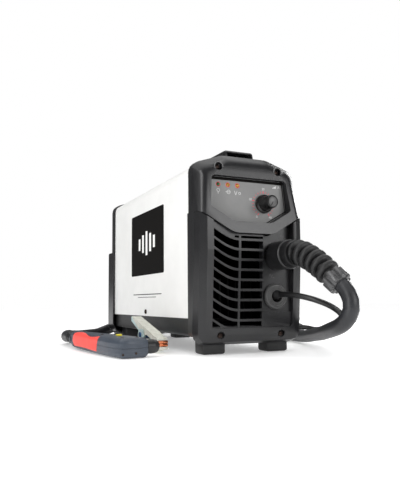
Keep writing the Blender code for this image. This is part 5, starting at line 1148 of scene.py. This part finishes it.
def torch_details():
    """A collar behind the handle and the screws that hold its halves together."""
    lift = torch_lift()
    collar = [(9.0, 0.3), (10.9, 0.3), (11.3, 0.8), (11.3, 4.2), (10.9, 4.8), (10.2, 4.8)]
    collar += [(10.2, 0.9), (9.0, 0.3)]
    mesh = turned("tail_collar", collar, lift @ at(-170.5, 196, 11.5), (0, 1, 0), 48)
    piece("tail_collar", mesh, TORCH_NYLON)
    one = cross_screw("shell_screw", 2.1, 0.9, 1.1, 0.3)
    heads = []
    for x, y in ((-156, 33), (-137, 36), (-161.5, 100), (-168, 168)):
        mesh = one.copy()
        mesh.transform(Matrix.Translation(lift @ at(x, y, 22.9)))
        heads.append(mesh)
    for x, z in ((-158.5, 5), (-143, 6)):
        pit = [(0, 0.15), (1.1, 0.15), (1.3, 0), (1.3, -0.8), (0, -0.8)]
        hole = turned("shell_hole", pit, lift @ at(x, 20, z), (0, -1, 0), 20)
        heads.append(hole)
    piece("shell_screws", joined("shell_screws", heads), SCREW_DARK)


def near_pivot(face):
    """True round the clamp's pivot, where its ears stand."""
    _, y, z = (face.center - UNIT) / MM
    return abs(y - 124) < 13 and abs(z - 20) < 10.5


def faces_inward(face):
    """True for the faces of the cover that look at its middle, which are given black painted shade."""
    middle_line = Vector((UNIT.x, face.center.y, UNIT.z + 120 * MM))
    return face.normal.dot((middle_line - face.center).normalized()) > 0.3


def waisted(place):
    """The handle's strap drawn in and lowered a little, behind an end that keeps its full width."""
    x, y, z = (place - UNIT) / MM
    start = (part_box("carry_handle")[0][1] - UNIT.y) / MM
    behind = min(max((y - start - 4) / 18, 0), 1)
    if z > 247.5 and behind > 0:
        half = 21 + (13 - 21) * behind
        x = min(max(x, -half), half)
        z -= 2.2 * behind
    return at(x, y, z)


def clothe():
    """The mouldings, sheets and fittings that keep the solid model's shape, with their edges softened."""
    for node in ("front_frame", "control_bezel", "rear_panel"):
        refined(node, BLACK_NYLON, edge=0.5 * MM)
    refined("control_plate", PANEL_FILM, edge=0.15 * MM)
    # The cover's inner faces get black painted shade instead of the white coat.
    refined("cover", WHITE_COAT, edge=0.25 * MM, special=(COVER_INSIDE_SHADE, faces_inward))
    refined("base_tray", BLACK_COAT, edge=0.3 * MM)
    refined("carry_handle", BLACK_ABS, edge=0.8 * MM, shaped=waisted)
    for end in ("front", "rear"):
        for side in ("left", "right"):
            refined(f"foot_{end}_{side}", NEOPRENE, edge=0.6 * MM)
    refined("mains_switch_frame", BLACK_ABS, edge=0.3 * MM)
    refined("mains_rocker", KNOB_BLACK, "rocker", edge=0.4 * MM)
    refined("fan_frame", BLACK_ABS, edge=0.4 * MM)
    refined("fan_rotor", BLACK_ABS, "fan", edge=0.2 * MM)
    for node in ("torch_shell_lower", "torch_shell_upper"):
        refined(node, TORCH_NYLON, edge=0.3 * MM, angle=30)
    refined("torch_strain_relief", NEOPRENE, edge=0.3 * MM)
    refined("torch_cap", CERAMIC, edge=0.3 * MM)
    refined("torch_head", BRASS_TURNED, edge=0.2 * MM)
    refined("torch_nozzle", COPPER_WORN, edge=0.2 * MM)
    refined("torch_trigger", TRIGGER_RED, "trigger", edge=0.5 * MM)
    refined("torch_safety_catch", CATCH_YELLOW, "catch", edge=0.5 * MM)
    refined("clamp_lower_arm", ZINC_PRESSED, edge=0.25 * MM, special=(ZINC_BLUE, near_pivot))
    refined("clamp_upper_arm", ZINC_PRESSED, "clamp_arm", edge=0.25 * MM, special=(ZINC_BLUE, near_pivot))
    refined("clamp_contact_lower", COPPER_WORN, edge=0.25 * MM)
    refined("clamp_contact_upper", COPPER_WORN, "clamp_arm", edge=0.25 * MM)
    refined("clamp_pin", SPRING_BLUED, edge=0.3 * MM)
    paint("clamp_spring", SPRING_BLUED)
    for node, finish in INSIDE.items():
        paint(node, finish)


INSIDE = {
    "control_board": BOARD_BLACK_SHADED,
    "power_board": BOARD_BLACK_SHADED,
    "potentiometer": FERRITE,
    "heat_sink": BLACK_FINS,
    "transformer_core": FERRITE,
    "transformer_winding": ENAMEL_WIRE,
    "capacitor": FERRITE,
    "solenoid_valve": BLACK_COAT,
}

camera()
studio()
clothe()
grommet()
plate_marks()
panel()
knob()
screws()
cover_marks()
rear_details()
torch_details()
soft_grip()
catch_lip()
leads()
